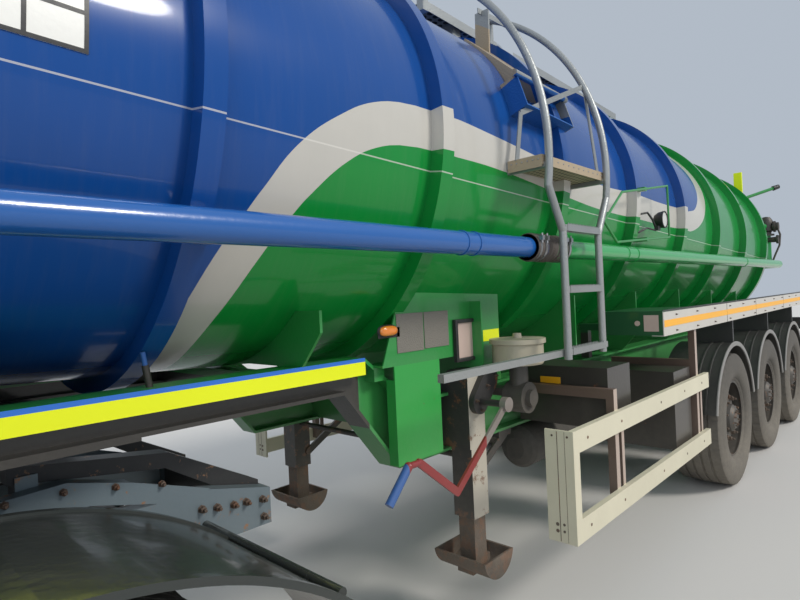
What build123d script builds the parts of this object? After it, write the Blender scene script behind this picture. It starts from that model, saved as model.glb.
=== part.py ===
from build123d import *
import math
import os

# Articulated tanker: a two-axle tractor unit and a three-axle semi-trailer that carries a
# round vacuum tank. Millimetres, +X forward, +Y to the left, +Z up. The origin is on the
# ground, at the middle of the overall length and width.

# Lengthways places
rear_overhang = 900.0          # last trailer axle to the tail
trailer_axle_gap = 1310.0
kingpin_ahead = 5250.0          # kingpin ahead of the first trailer axle
drive_axle_behind = 500.0       # drive axle behind the kingpin
wheelbase = 3700.0
front_overhang = 1380.0
trailer_axle_count = 3

trailer_axle_span = (trailer_axle_count - 1) * trailer_axle_gap
overall_length = (rear_overhang + trailer_axle_span + kingpin_ahead
                  - drive_axle_behind + wheelbase + front_overhang)
tail_x = -overall_length / 2
first_axle_x = tail_x + rear_overhang + trailer_axle_span
trailer_axle_places = [first_axle_x - i * trailer_axle_gap for i in range(trailer_axle_count)]
kingpin_x = first_axle_x + kingpin_ahead
drive_axle_x = kingpin_x - drive_axle_behind
front_axle_x = drive_axle_x + wheelbase
nose_x = overall_length / 2

# Fits
seat_gap = 0.3                  # between pieces that seat on a curved face
running_gap = 0.08              # radial, shaft in bore
side_gap = 5.0                  # beside moving pieces

# Widths
body_half_width = 1250.0

# Wheels
trailer_tyre_r = 520.0
trailer_tyre_width = 385.0
tractor_tyre_r = 507.0
tractor_tyre_width = 312.0
rim_r = 297.0                   # where the tyre sits on the rim
rim_wall = 11.0
disc_thickness = 14.0
hub_r = 118.0
drum_r = 214.0
drum_length = 150.0
spindle_r = 45.0
spindle_length = 150.0
hand_hole_r = 26.0
hand_hole_ring_r = 218.0
hand_hole_count = 10
twin_gap = 345.0

# Tank
tank_r = 947.0
tank_axis_z = 2134.0            # over the first trailer axle
tank_slope = 2.09               # degrees, down towards the rear
ring_gap = 1000.0
ring_count = 10
ring_rise = 60.0
ring_width = 70.0
rear_ring_u = -2752.0           # along the tank, from the first trailer axle
dish_knuckle_r = 190.0
dish_crown_r = 1894.0
manway_u = rear_ring_u + 4.5 * ring_gap
manway_r = 255.0
manway_rise = 150.0
manway_wall = 12.0
rear_manway_r = 310.0
rear_manway_rise = 120.0

# Trailer frame
rail_y = 585.0
flange_width = 130.0
flange_thickness = 14.0
web_thickness = 9.0
neck_top = 1348.0
coupling_z = 1200.0
coupling_plate = 10.0
main_top = 1120.0
main_bottom = 840.0
neck_front = 6350.0             # lengthways places on the trailer count from its first axle
neck_rear = 3430.0
rail_rear = -3250.0
kingpin_r = 25.4
kingpin_drop = 84.0
saddle_half_width = 770.0
saddle_thickness = 12.0
cradle_y = 695.0                # lengthways plate under the tank, at the landing legs
cradle_wall = 8.0
cradle_front = 3380.0
cradle_rear = 2500.0
cradle_bottom = 1300.0

# Tractor frame
frame_half_width = 430.0
frame_bottom = 630.0
frame_top = 925.0
frame_wall = 9.0
frame_flange = 80.0


# Hinges of the lid, the rear door and the cab doors
hinge_pin_r = 10.0
lid_hinge_out = 45.0
lid_hinge_up = 22.0
door_hinge_ahead = 10.0
door_hinge_in = 12.0
door_hinge_heights = (1450.0, 1850.0)
hinge_length = 80.0

# Trailer running gear
hanger_ahead = 480.0
hanger_pin_r = 18.0
hanger_pin_z = 600.0
arm_half = 40.0
arm_seat_drop = 20.0
bag_behind = 350.0
bag_r = 135.0
guard_r = 590.0
guard_wall = 12.0
guard_inner_y = 850.0
guard_outer_y = 1245.0
coupling_plate_rear = 4350.0
saddle_top = 1560.0

# Boards and guards along the trailer
board_wall = 5.0
board_low = 1300.0
board_high = 1440.0
board_front = 1620.0
board_rear = -3310.0
arm_count = 4
guard_front = 2800.0
guard_rear = 780.0
post_arm_z = 1040.0
guard_posts = ((2280.0, 1090.0), (940.0, 1300.0))    # place and top of each

# Landing legs
leg_x = 2820.0
leg_size = 120.0
leg_inner = 92.0
leg_top = 1230.0
leg_bottom = 520.0
foot_bottom = 250.0
foot_r = 120.0
foot_width = 300.0
shaft_z = 800.0
gear_bottom = (2828.0, 1080.0)  # middles of the oval gear cover's ends
gear_top = (2740.0, 1178.0)
gear_r = 60.0
gear_depth = 32.0
crank_y = 925.0
crank_points = (gear_bottom, (3215.0, 784.0), (3440.0, 960.0))
grip_points = ((3440.0, 960.0), (3500.0, 961.0), (3612.0, 845.0))
crank_bar = 32.0
panel_front = 3310.0
panel_rear = 3008.0
panel_bottom = 870.0

# Boxes beside the trailer's rails: rear, front, outer, lower and upper limits
side_boxes = (
    {"rear": 1950.0, "front": 2240.0, "outer": 1170.0, "low": 870.0, "high": 1185.0},
    {"rear": 1000.0, "front": 1320.0, "outer": 1195.0, "low": 560.0, "high": 1050.0},
)
locker_rear = 1000.0
locker_inner = 870.0
locker_arm = 1300.0
locker_arm_z = (1310.0, 1355.0)
reservoir_y = 640.0
reservoir_z = 712.0
reservoir_r = 118.0
reservoir_ends = (1400.0, 2300.0)
canister_x = 2610.0
canister_y = 880.0
walkway_ends = (-100.0, 2600.0)

# Pipes and ladder
pipe_y = 1030.0
pipe_z = 1800.0
pipe_r = 47.0
pipe_front = 5900.0
pipe_rear = -3200.0
ladder_stiles = ((2600.0, 2720.0), (2220.0, 2100.0))
ladder_y = 1145.0
ladder_bottom = 1270.0
ladder_knee = 1870.0
ladder_shoulder = 2070.0
stile_r = 18.0
hoop_end = 66.0
well_ends = (2170.0, 2650.0)    # step well and tread plate above the ladder, along the tank
well_angle = 19.0
well_half_height = 88.0
well_out = 95.0
tread_low = (957.0, 424.0)      # edges of the tread plate, from the tank's axis
tread_high = (590.0, 757.0)
tread_ends = (2200.0, 2560.0)
rung_count = 3
rung_gap = 290.0
outlet_r = 76.0
outlet_bore = 160.0
rear_door_u = rear_ring_u - ring_width / 2 - 470.0
underrun_low = 410.0
underrun_high = 530.0
outlet_z = 1330.0

# Tractor
frame_rear_behind = 1475.0
bumper_wall = 60.0
bumper_low = 330.0
bumper_high = 1120.0
wheel_room = 660.0
cab_back_x = nose_x - 2300.0
cab_nose_x = nose_x - 60.0
cab_half_width = 1240.0
cab_floor = 1150.0
cab_top = 3080.0
cab_wall = 60.0
roof_edge_r = 100.0
screen_low = 1900.0
screen_high = 2780.0
screen_rake = 320.0
screen_half = 1060.0
door_rear_x = nose_x - 1380.0
door_front_x = nose_x - 450.0
door_low = 1200.0
door_high = 2790.0
door_gap = 6.0
window_low = 1950.0
window_high = 2680.0
seat_x = nose_x - 1250.0
steer_y = 890.0
steer_pin_r = 20.0
boss_r = 44.0
boss_half = 70.0
drive_guard_sweep = (90.0, -651.0, 1218.0)    # middle from the axle, and radius, of its rear part
drive_guard_reach = 960.0
guard_lip = 25.0
frame_end_height = 140.0
front_guard_r = 618.0
twin_inner_y = 590.0
drive_bag_y = 462.0
gearbox_reach = 1800.0          # gearbox end behind the front axle


def slab(x, y, z):
    "Block between three pairs of limits."
    size = [abs(pair[1] - pair[0]) for pair in (x, y, z)]
    middle = [(pair[0] + pair[1]) / 2 for pair in (x, y, z)]
    return Pos(*middle) * Box(*size)


def side_plate(points, y_low, y_high):
    "Outline in X and Z, as thick as the two limits in Y."
    face = make_face(Polyline(*points, close=True))
    return Pos(0, y_high, 0) * extrude(Plane.XZ * face, amount=y_high - y_low)


def cross_plate(points, x_low, x_high):
    "Outline in Y and Z, as thick as the two limits in X."
    face = make_face(Polyline(*points, close=True))
    return Pos(x_low, 0, 0) * extrude(Plane.YZ * face, amount=x_high - x_low)


def floor_plate(points, z_low, z_high):
    "Outline in X and Y, as thick as the two limits in Z."
    face = make_face(Polyline(*points, close=True))
    return Pos(0, 0, z_low) * extrude(face, amount=z_high - z_low)


def rod_between(start, end, radius):
    "Round bar from one point to another."
    line = Vector(*end) - Vector(*start)
    plane = Plane(origin=start, z_dir=line)
    return extrude(plane * Circle(radius), amount=line.length)


def pipe_along(points, bend_r, radius):
    "Round bar along straight runs joined by bends of one radius."
    path = FilletPolyline(*points, radius=bend_r)
    start = Plane(origin=path @ 0, z_dir=path % 0)
    return sweep(start * Circle(radius), path=path)


def turned(profile):
    "Outline of (Y, radius) points turned about the Y axis."
    face = make_face(Polyline(*profile, close=True))
    return revolve(Plane.YZ * face, axis=Axis.Y)


def across(radius, length):
    "Round bar along Y, centred."
    return Rot(90, 0, 0) * Cylinder(radius, length)


def along(radius, length):
    "Round bar along X, centred."
    return Rot(0, 90, 0) * Cylinder(radius, length)


def flat_bar(start, end, width, y_low, y_high):
    "Flat bar with round ends between two (X, Z) points, its thickness along Y."
    run = (end[0] - start[0], end[1] - start[1])
    length = math.hypot(*run)
    side = (-run[1] / length * width / 2, run[0] / length * width / 2)
    outline = [(start[0] + side[0], start[1] + side[1]), (end[0] + side[0], end[1] + side[1]),
               (end[0] - side[0], end[1] - side[1]), (start[0] - side[0], start[1] - side[1])]
    bar = side_plate(outline, y_low, y_high)
    for x, z in (start, end):
        bar = bar + Pos(x, (y_low + y_high) / 2, z) * across(width / 2, y_high - y_low)
    return bar


def other_side(shape):
    return mirror(shape, about=Plane.XZ)


def both_sides(shape):
    return [shape, other_side(shape)]


def joined(pieces):
    whole = pieces[0]
    for piece in pieces[1:]:
        whole = whole + piece
    return whole


def on_trailer(x):
    "Place along the trailer, counted from its first axle."
    return first_axle_x + x


# Wheels

def tyre(radius, width):
    half = width / 2
    wall = radius - rim_r
    side = [
        (0.78 * half, rim_r),
        (half, rim_r + 0.42 * wall),
        (0.97 * half, rim_r + 0.72 * wall),
        (0.80 * half, radius),
    ]
    profile = side + [(-y, r) for y, r in reversed(side)]
    return turned(profile)


def rim(width, disc_out, edge_out, cap_length, drum=True):
    "Rim with its disc outboard of the tyre's middle, hub and brake drum; outboard is +Y."
    half = 0.78 * width / 2
    seat_r = rim_r - seat_gap
    barrel = turned([(-half, seat_r), (half, seat_r), (half, seat_r - rim_wall - 6),
                     (half - 20, seat_r - rim_wall), (-half, seat_r - rim_wall)])
    disc = turned([
        (disc_out, 0), (disc_out, 0.62 * rim_r), (edge_out, seat_r - rim_wall + 1),
        (edge_out - disc_thickness, seat_r - rim_wall + 1),
        (disc_out - disc_thickness, 0.60 * rim_r), (disc_out - disc_thickness, 0)])
    for i in range(hand_hole_count):
        hole = Rot(0, i * 360 / hand_hole_count, 0) * Pos(0, edge_out, hand_hole_ring_r) \
            * across(hand_hole_r, 300)
        disc = disc - hole
    whole = barrel + disc
    if cap_length:
        whole = whole + turned([(disc_out - 5, 0), (disc_out - 5, hub_r),
                                (disc_out + cap_length - 22, hub_r - 14),
                                (disc_out + cap_length, hub_r - 40), (disc_out + cap_length, 0)])
    if drum:
        place = Pos(0, disc_out - disc_thickness, 0)
        whole = (whole + place * brake_drum()) - place * hub_bore()
    return whole


def brake_drum():
    "Drum inboard of a disc whose inner face is at Y = 0."
    return turned([(1, 0), (1, drum_r), (-drum_length, drum_r), (-drum_length, 0)])


def hub_bore():
    length = spindle_length + side_gap
    return Pos(0, length / 2 - drum_length, 0) * across(spindle_r + running_gap, length)


trailer_disc_out = 110.0
trailer_wheel_y = body_half_width - trailer_tyre_width / 2
front_disc_out = 120.0
outboard_dish = 50.0            # disc edge inboard of the disc's face
front_wheel_y = 1020.0
drive_outer_y = body_half_width - tractor_tyre_width / 2
drive_disc_out = disc_thickness - twin_gap / 2
twin_dish = 84.0                # disc edge outboard of the disc's face, outer twin


def spindle_root(wheel_y, disc_out):
    "Inboard end of the drum, where the spindle enters."
    return wheel_y + disc_out - disc_thickness - drum_length


# Tank

tank_rear_u = rear_ring_u - ring_width / 2
tank_front_u = rear_ring_u + (ring_count - 1) * ring_gap + ring_width / 2
dish_reach = math.sqrt((dish_crown_r - dish_knuckle_r) ** 2 - (tank_r - dish_knuckle_r) ** 2)
dish_depth = dish_crown_r - dish_reach
dish_angle = math.asin((tank_r - dish_knuckle_r) / (dish_crown_r - dish_knuckle_r))


def on_tank(shape):
    "Puts what is built along the tank's own level axis on the sloping tank."
    return Pos(first_axle_x, 0, tank_axis_z) * Rot(0, -tank_slope, 0) * shape


def dish(end_u, way, clearance):
    "Crown and knuckle arcs of one dished end, from the axis out to the barrel."
    centre_u = end_u - way * dish_reach
    crown_r = dish_crown_r + clearance
    knuckle_r = dish_knuckle_r + clearance

    def crown(angle):
        return (centre_u + way * crown_r * math.cos(angle), crown_r * math.sin(angle))

    def knuckle(angle):
        return (end_u + way * knuckle_r * math.cos(angle),
                tank_r - dish_knuckle_r + knuckle_r * math.sin(angle))

    middle = (dish_angle + math.pi / 2) / 2
    return [ThreePointArc(crown(0), crown(dish_angle / 2), crown(dish_angle)),
            ThreePointArc(knuckle(dish_angle), knuckle(middle), knuckle(math.pi / 2))]


def tank_outline(clearance):
    radius = tank_r + clearance
    points = [(tank_rear_u, radius)]
    for i in range(ring_count):
        u = rear_ring_u + i * ring_gap
        low, high = u - ring_width / 2 - clearance, u + ring_width / 2 + clearance
        points += [(low, radius), (low, radius + ring_rise), (high, radius + ring_rise), (high, radius)]
    points.append((tank_front_u, radius))
    return Polyline(*[p for i, p in enumerate(points) if p not in points[:i]])


def tank_solid(clearance=0.0):
    "The vessel, or with a clearance the room it takes from what seats on it."
    rear = dish(tank_rear_u, -1, clearance)
    front = dish(tank_front_u, 1, clearance)
    base = Line((tank_rear_u - dish_depth - clearance, 0), (tank_front_u + dish_depth + clearance, 0))
    outline = Curve() + rear + [tank_outline(clearance)] + front + [base]
    return revolve(Plane.XZ * make_face(outline), axis=Axis.X)


tank_room = tank_solid(seat_gap)


def manway_collar():
    "Neck of the top manway, with the two ears of its lid's hinge."
    height = manway_rise + 120
    neck = Pos(manway_u, 0, tank_r + manway_rise - height / 2) * (
        Cylinder(manway_r, height) - Cylinder(manway_r - manway_wall, height + 2))
    top = tank_r + manway_rise
    edge = manway_u - manway_r
    ears = [slab((edge - 75, edge + 6), (y, y + 14), (top - 60, top - 5)) for y in (-44, 30)]
    ears += [slab((edge - 75, edge - 20), (y, y + 14), (top - 6, top + 45)) for y in (-44, 30)]
    pin = Pos(edge - lid_hinge_out, 0, top + seat_gap + lid_hinge_up) \
        * across(hinge_pin_r, 88)
    return joined([neck] + ears + [pin]) - tank_room


def rear_manway_collar():
    "Neck of the rear manway, with the ears of its door's hinge at the left."
    length = rear_manway_rise + 60
    neck = Pos(rear_door_u + length / 2, 0, 0) * (
        along(rear_manway_r, length) - along(rear_manway_r - manway_wall, length + 2))
    ears = [slab((rear_door_u + 5, rear_door_u + 60), (rear_manway_r - 6, rear_manway_r + 75), (z, z + 14))
            for z in (-44, 30)]
    ears += [slab((rear_door_u - 45, rear_door_u + 6), (rear_manway_r + 20, rear_manway_r + 75), (z, z + 14))
             for z in (-44, 30)]
    pin = Pos(rear_door_u - seat_gap - lid_hinge_up, rear_manway_r + lid_hinge_out, 0) \
        * Cylinder(hinge_pin_r, 88)
    return joined([neck] + ears + [pin]) - tank_room


def hinged_cover(radius):
    "Dished cover lying on Z = 0, hinge knuckle at -X."
    profile = [(0, 0), (radius, 0), (radius + 12, 8), (radius + 12, 22), (0.8 * radius, 30),
               (0.45 * radius, 62), (0, 72)]
    cover = revolve(Plane.XZ * make_face(Polyline(*profile, close=True)), axis=Axis.Z)
    knuckle = Pos(-radius - lid_hinge_out, 0, lid_hinge_up) * across(hinge_pin_r + 10, 58)
    arm = slab((-radius - lid_hinge_out, -radius + 40), (-26, 26), (lid_hinge_up - 14, lid_hinge_up + 6))
    bore = Pos(-radius - lid_hinge_out, 0, lid_hinge_up) * across(hinge_pin_r + running_gap, 120)
    return joined([cover, knuckle, arm]) - bore


def manway_lid():
    return on_tank(Pos(manway_u, 0, tank_r + manway_rise + seat_gap) * hinged_cover(manway_r))


def rear_door():
    turned_back = Rot(0, -90, 0) * Rot(0, 0, 180) * hinged_cover(rear_manway_r)
    return on_tank(Pos(rear_door_u - seat_gap, 0, 0) * Rot(90, 0, 0) * turned_back)


# Frame of the trailer

neck_slope_top = (neck_rear - 280, neck_rear)         # where the rails' upper edge rises
neck_slope_bottom = (neck_rear - 180, neck_rear + 120)


def rail_outline():
    return [(neck_front, coupling_z + coupling_plate), (neck_front, neck_top),
            (neck_slope_top[1], neck_top), (neck_slope_top[0], main_top), (rail_rear, main_top),
            (rail_rear, main_top - 130), (rail_rear + 200, main_bottom),
            (neck_slope_bottom[0], main_bottom), (neck_slope_bottom[1], coupling_z + coupling_plate)]


def rail_edge(x, slope, low, high):
    "Height of one edge of the rails: low behind its slope, high ahead of it."
    share = (x - slope[0]) / (slope[1] - slope[0])
    return low + min(max(share, 0), 1) * (high - low)


def trailer_rail(y):
    points = [(on_trailer(x), z) for x, z in rail_outline()]
    face = make_face(Polyline(*points, close=True))
    inner = offset(face, amount=-flange_thickness, kind=Kind.INTERSECTION)
    band = Plane.XZ * (face - inner)
    flanges = Pos(0, y + flange_width / 2, 0) * extrude(band, amount=flange_width)
    web = Pos(0, y + web_thickness / 2, 0) * extrude(Plane.XZ * face, amount=web_thickness)
    return flanges + web


def saddle(u):
    "Cross member between the rails and the cradle plates that the tank lies in."
    x = on_trailer(u)
    base = rail_edge(u, neck_slope_top, main_top, neck_top)
    low = rail_edge(u, neck_slope_bottom, main_bottom, coupling_z + coupling_plate) + 10
    top = min(base - 6, tank_axis_z + u * math.tan(math.radians(tank_slope)) - tank_r - 8)
    outer = rail_y + flange_width / 2
    member = slab((x - 35, x + 35), (-rail_y, rail_y), (low, top))
    plate = cross_plate([(-outer, base - 2), (outer, base - 2), (saddle_half_width, base + 130),
                         (saddle_half_width, saddle_top), (-saddle_half_width, saddle_top),
                         (-saddle_half_width, base + 130)],
                        x - saddle_thickness / 2, x + saddle_thickness / 2)
    return [member] + list((plate - on_tank(tank_room)).solids())


def cradle():
    "Lengthways plate from a shelf on the rail up to the tank."
    shelf_rear = leg_x - leg_size / 2 - 30
    outline = [(cradle_front, cradle_bottom), (cradle_front - 90, cradle_bottom + 230),
               (cradle_front - 90, saddle_top + 160), (cradle_rear, saddle_top + 160),
               (cradle_rear, main_top + 20), (cradle_rear + 60, main_top + 20),
               (shelf_rear + 20, cradle_bottom)]
    plate = side_plate([(on_trailer(x), z) for x, z in outline], cradle_y, cradle_y + cradle_wall)
    plate = (plate - on_tank(tank_room)).solids().sort_by(SortBy.VOLUME)[-1]
    shelf = slab((on_trailer(shelf_rear), on_trailer(cradle_front)),
                 (rail_y, cradle_y + cradle_wall), (cradle_bottom, cradle_bottom + 10))
    foot = slab((on_trailer(neck_rear) - 110, on_trailer(cradle_front)),
                (rail_y, rail_y + flange_width / 2), (main_top + 120, cradle_bottom + 1))
    return [plate, shelf, foot]


def trailer_frame():
    pieces = [trailer_rail(rail_y), trailer_rail(-rail_y)]
    for piece in cradle():
        pieces += both_sides(piece)
    for i in range(ring_count - 1):
        for piece in saddle(rear_ring_u + (i + 0.5) * ring_gap):
            if piece.bounding_box().min.Z < saddle_top - 60:
                pieces.append(piece)
    plate = slab((on_trailer(coupling_plate_rear), on_trailer(neck_front)),
                 (-rail_y - flange_width / 2, rail_y + flange_width / 2),
                 (coupling_z, coupling_z + coupling_plate + 1))
    pin = Pos(kingpin_x, 0, coupling_z + 5 - kingpin_drop / 2) * Cylinder(kingpin_r, kingpin_drop + 10)
    rear_member = slab((on_trailer(rail_rear), on_trailer(rail_rear) + 80), (-rail_y, rail_y),
                       (main_top - 120, main_top))
    pieces += [plate, pin, rear_member]
    for x in trailer_axle_places:
        pin_x = x + hanger_ahead
        for y in (-rail_y, rail_y):
            for plate_y in (y - arm_half - side_gap - 12, y + arm_half + side_gap):
                pieces.append(side_plate(
                    [(pin_x - 90, main_bottom + 1), (pin_x + 90, main_bottom + 1),
                     (pin_x + 45, hanger_pin_z - 45), (pin_x - 45, hanger_pin_z - 45)],
                    plate_y, plate_y + 12))
            pieces.append(Pos(pin_x, y, hanger_pin_z) * across(hanger_pin_r, 2 * arm_half + 40))
    return joined(pieces)


def trailer_axle(x):
    root = spindle_root(trailer_wheel_y, trailer_disc_out) - side_gap
    beam = across(68, 2 * root)
    spindles = across(spindle_r, 2 * (root + spindle_length))
    pin_up = hanger_pin_z - trailer_tyre_r
    arms = []
    for y in (-rail_y, rail_y):
        arm = side_plate([(-490, -48), (-490, -arm_seat_drop), (-215, -arm_seat_drop), (-90, 76),
                          (90, 76), (hanger_ahead, pin_up + 34), (hanger_ahead + 36, pin_up),
                          (hanger_ahead, pin_up - 34), (90, -62), (-90, -62)],
                         y - arm_half, y + arm_half)
        eye = Pos(hanger_ahead, y, pin_up) * across(hanger_pin_r + running_gap, 4 * arm_half)
        arms.append(arm - eye)
    return Pos(x, 0, trailer_tyre_r) * joined([beam, spindles] + arms)


def air_spring(x, y, low, high, radius):
    profile = [(0, low), (0.62 * radius, low), (0.62 * radius, low + 70), (radius, low + 110),
               (radius, high - 46), (0.86 * radius, high - 14), (0.86 * radius, high), (0, high)]
    face = make_face(Polyline(*profile, close=True))
    return Pos(x, y, 0) * revolve(Plane.XZ * face, axis=Axis.Z)


def reservoir():
    "Air reservoir with dished ends, hung under the rail by two straps."
    rear, front = reservoir_ends
    r = reservoir_r
    profile = [(rear, 0), (rear, 0.5 * r), (rear + 22, 0.85 * r), (rear + 50, r), (front - 50, r),
               (front - 22, 0.85 * r), (front, 0.5 * r), (front, 0)]
    vessel = revolve(Plane.XZ * make_face(Polyline(*profile, close=True)), axis=Axis.X)
    straps = [slab((x - 20, x + 20), (-45, -5), (0, main_bottom - reservoir_z))
              for x in (rear + 200, front - 200)]
    return Pos(first_axle_x, reservoir_y, reservoir_z) * joined([vessel] + straps)


def trailer_air_springs():
    "The springs on the axle arms, and the reservoirs that feed them."
    seat = trailer_tyre_r - arm_seat_drop
    springs = [air_spring(x - bag_behind, y, seat, main_bottom, bag_r)
               for x in trailer_axle_places for y in (-rail_y, rail_y)]
    return springs + both_sides(reservoir())


def arch(radius, wall, low_angle, high_angle, y_low, y_high):
    "Curved guard about the Y axis; angles in degrees from the front, upwards."
    def point(r, angle):
        return (r * math.cos(math.radians(angle)), r * math.sin(math.radians(angle)))
    middle = (low_angle + high_angle) / 2
    outline = Curve() + [
        ThreePointArc(point(radius, low_angle), point(radius, middle), point(radius, high_angle)),
        Line(point(radius, high_angle), point(radius + wall, high_angle)),
        ThreePointArc(point(radius + wall, high_angle), point(radius + wall, middle),
                      point(radius + wall, low_angle)),
        Line(point(radius + wall, low_angle), point(radius, low_angle))]
    return Pos(0, y_high, 0) * extrude(Plane.XZ * make_face(outline), amount=y_high - y_low)


def trailer_mudguards():
    guards = []
    for x in trailer_axle_places:
        guard = arch(guard_r, guard_wall, 12, 168, guard_inner_y, guard_outer_y)
        lip = arch(guard_r - 14, guard_wall + 14, 12, 168, guard_outer_y - 6, guard_outer_y)
        stay = slab((-15, 15), (guard_inner_y + 60, guard_outer_y - 10),
                    (guard_r, board_low - trailer_tyre_r))
        guards += both_sides(Pos(x, 0, trailer_tyre_r) * joined([guard, lip, stay]))
    return guards


def board_arms():
    "Arms from the cradle plates out to the boards."
    arms = []
    for i in range(arm_count):
        x = on_trailer(rear_ring_u + (i + 0.5) * ring_gap)
        arms.append(slab((x - 25, x + 25), (saddle_half_width, body_half_width - board_wall),
                         (board_low + 20, board_low + 80)))
    return arms


def side_boards():
    face = slab((on_trailer(board_rear), on_trailer(board_front)),
                (body_half_width - board_wall, body_half_width), (board_low, board_high))
    shelf = slab((on_trailer(board_rear), on_trailer(board_front)),
                 (body_half_width - 70, body_half_width - board_wall + 1), (board_low, board_low + 4))
    return both_sides(joined([face, shelf] + board_arms()))


def side_guards():
    low_rail = slab((on_trailer(guard_rear), on_trailer(guard_front)),
                    (body_half_width - 28, body_half_width), (495, 597))
    high_rail = slab((on_trailer(guard_rear), on_trailer(guard_front)),
                     (body_half_width - 28, body_half_width), (885, 985))
    band = slab((on_trailer(guard_front) - 55, on_trailer(guard_front)),
                (body_half_width - 28, body_half_width), (495, 985))
    leaf = slab((on_trailer(guard_front) - 12, on_trailer(guard_front)),
                (body_half_width - 135, body_half_width), (495, 985))
    posts = []
    for x, top in guard_posts:
        place = on_trailer(x)
        posts.append(slab((place - 20, place + 20), (body_half_width - 68, body_half_width - 27),
                          (520, top)))
        posts.append(slab((place - 20, place + 20), (rail_y + flange_width / 2, body_half_width - 67),
                          (post_arm_z, post_arm_z + 50)))
        posts.append(slab((place - 85, place - 55), (body_half_width - 40, body_half_width - 27),
                          (520, 960)))
    return both_sides(joined([low_rail, high_rail, band, leaf] + posts))


# Landing legs

leg_y = rail_y + flange_width / 2 + leg_size / 2


def leg_housings():
    "Square housings with their wing plates, braces, gear cover, cross shaft and crank pin."
    x = on_trailer(leg_x)
    front = x + leg_size / 2
    inner = leg_y - leg_size / 2
    outer = leg_y + leg_size / 2
    room = leg_inner / 2 + 0.6
    shell = slab((x - leg_size / 2, front), (inner, outer), (leg_bottom, leg_top))
    shell = shell - slab((x - room, x + room), (leg_y - room, leg_y + room), (leg_bottom - 1, leg_top - 40))
    wing = cross_plate([(rail_y + 6, main_bottom + 16), (outer, main_bottom + 16), (outer, leg_top),
                        (inner, leg_top), (inner - 50, leg_top - 70), (inner - 50, main_top + 0.5),
                        (inner + 0.5, main_top + 0.5), (inner + 0.5, main_top - 15),
                        (rail_y + 6, main_top - 15)], front - 1, front + 8)
    brace = flat_bar((x - 40, leg_bottom + 90), (x - 410, main_bottom - 22), 44, inner - 12, inner + 2)
    foot = slab((x - 470, x - 350), (inner - 60, inner + 2), (main_bottom - 30, main_bottom))
    leg = joined([shell, wing, brace, foot])
    shaft = Pos(x, 0, shaft_z) * across(16, 2 * inner + 2)
    ends = [(on_trailer(place[0]), place[1]) for place in (gear_bottom, gear_top)]
    cover = flat_bar(*ends, 2 * gear_r, outer - 1, outer + gear_depth)
    pin = Pos(ends[0][0], (outer + crank_y) / 2, ends[0][1]) * across(16, crank_y - outer)
    return [joined([leg, other_side(leg), shaft, cover, pin])]


def leg_crank():
    "Folding crank: a boss on its pin, two flat bars and a round grip."
    points = [(on_trailer(x), z) for x, z in crank_points]
    pieces = [Pos(points[0][0], crank_y + 16, points[0][1]) * across(34, 32)]
    for start, end in zip(points, points[1:]):
        pieces.append(flat_bar(start, end, crank_bar, crank_y + 8, crank_y + 20))
    grip = [(on_trailer(x), crank_y + 14, z) for x, z in grip_points]
    for start, end, radius in zip(grip, grip[1:], (13, 17)):
        pieces.append(rod_between(start, end, radius))
    pieces.append(Pos(*grip[1]) * Sphere(17))
    return [joined(pieces)]


def leg_feet():
    x = on_trailer(leg_x)
    feet = []
    for side in (1, -1):
        y = side * leg_y
        inner = slab((x - leg_inner / 2, x + leg_inner / 2), (y - leg_inner / 2, y + leg_inner / 2),
                     (foot_bottom + 60, leg_top - 70))
        shoe = Pos(x, y, foot_bottom + foot_r) * (across(foot_r, foot_width)
                                                   - across(foot_r - 12, foot_width - 20))
        shoe = shoe & slab((x - foot_r - 5, x + foot_r + 5), (y - foot_width, y + foot_width),
                           (foot_bottom - 5, foot_bottom + foot_r * 0.85))
        web = slab((x - foot_r * 0.6, x + foot_r * 0.6), (y - leg_inner / 2, y + leg_inner / 2),
                   (foot_bottom + 6, foot_bottom + 70))
        feet.append(joined([inner, shoe, web]))
    return feet


# Trailer fittings

def side_cabinet():
    "Panel hanging beside the left landing leg, locker behind the left board, and the side boxes."
    panel = slab((on_trailer(panel_rear), on_trailer(panel_front)), (cradle_y, cradle_y + cradle_wall),
                 (panel_bottom, cradle_bottom))
    fold = slab((on_trailer(panel_front) - cradle_wall, on_trailer(panel_front)),
                (rail_y + flange_width / 2 + seat_gap, cradle_y + 1), (panel_bottom, cradle_bottom - 60))
    locker = slab((on_trailer(locker_rear), on_trailer(board_front)),
                  (locker_inner, body_half_width - board_wall - seat_gap), (board_low + 4, board_high + 8))
    arm_x = on_trailer(locker_arm)
    arm = slab((arm_x - 25, arm_x + 25), (rail_y + 10, locker_inner + 1), locker_arm_z)
    post = slab((arm_x - 25, arm_x + 25), (rail_y + 10, rail_y + flange_width / 2),
                (main_top, locker_arm_z[1]))
    boxes = []
    for size in side_boxes:
        boxes += both_sides(slab((on_trailer(size["rear"]), on_trailer(size["front"])),
                                 (rail_y + flange_width / 2, size["outer"]), (size["low"], size["high"])))
    return [joined([panel, fold]), joined([locker, arm, post])] + boxes


def suction_pipe():
    run = rod_between((on_trailer(pipe_rear), pipe_y, pipe_z), (on_trailer(pipe_front), pipe_y, pipe_z),
                      pipe_r)
    coupling = rod_between((on_trailer(2410), pipe_y, pipe_z), (on_trailer(2730), pipe_y, pipe_z),
                           pipe_r + 14)
    pieces = [run, coupling]
    for i in range(ring_count):
        u = rear_ring_u + i * ring_gap
        if pipe_rear < u < pipe_front:
            x = on_trailer(u)
            pieces.append(slab((x - 30, x + 30), (pipe_y - 230, pipe_y), (pipe_z - 30, pipe_z + 30)))
    for x in (pipe_rear + pipe_r, pipe_front - pipe_r):
        pieces.append(rod_between((on_trailer(x), pipe_y, pipe_z), (on_trailer(x), 700, pipe_z), pipe_r))
    return [joined(pieces) - on_tank(tank_room)]


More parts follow.
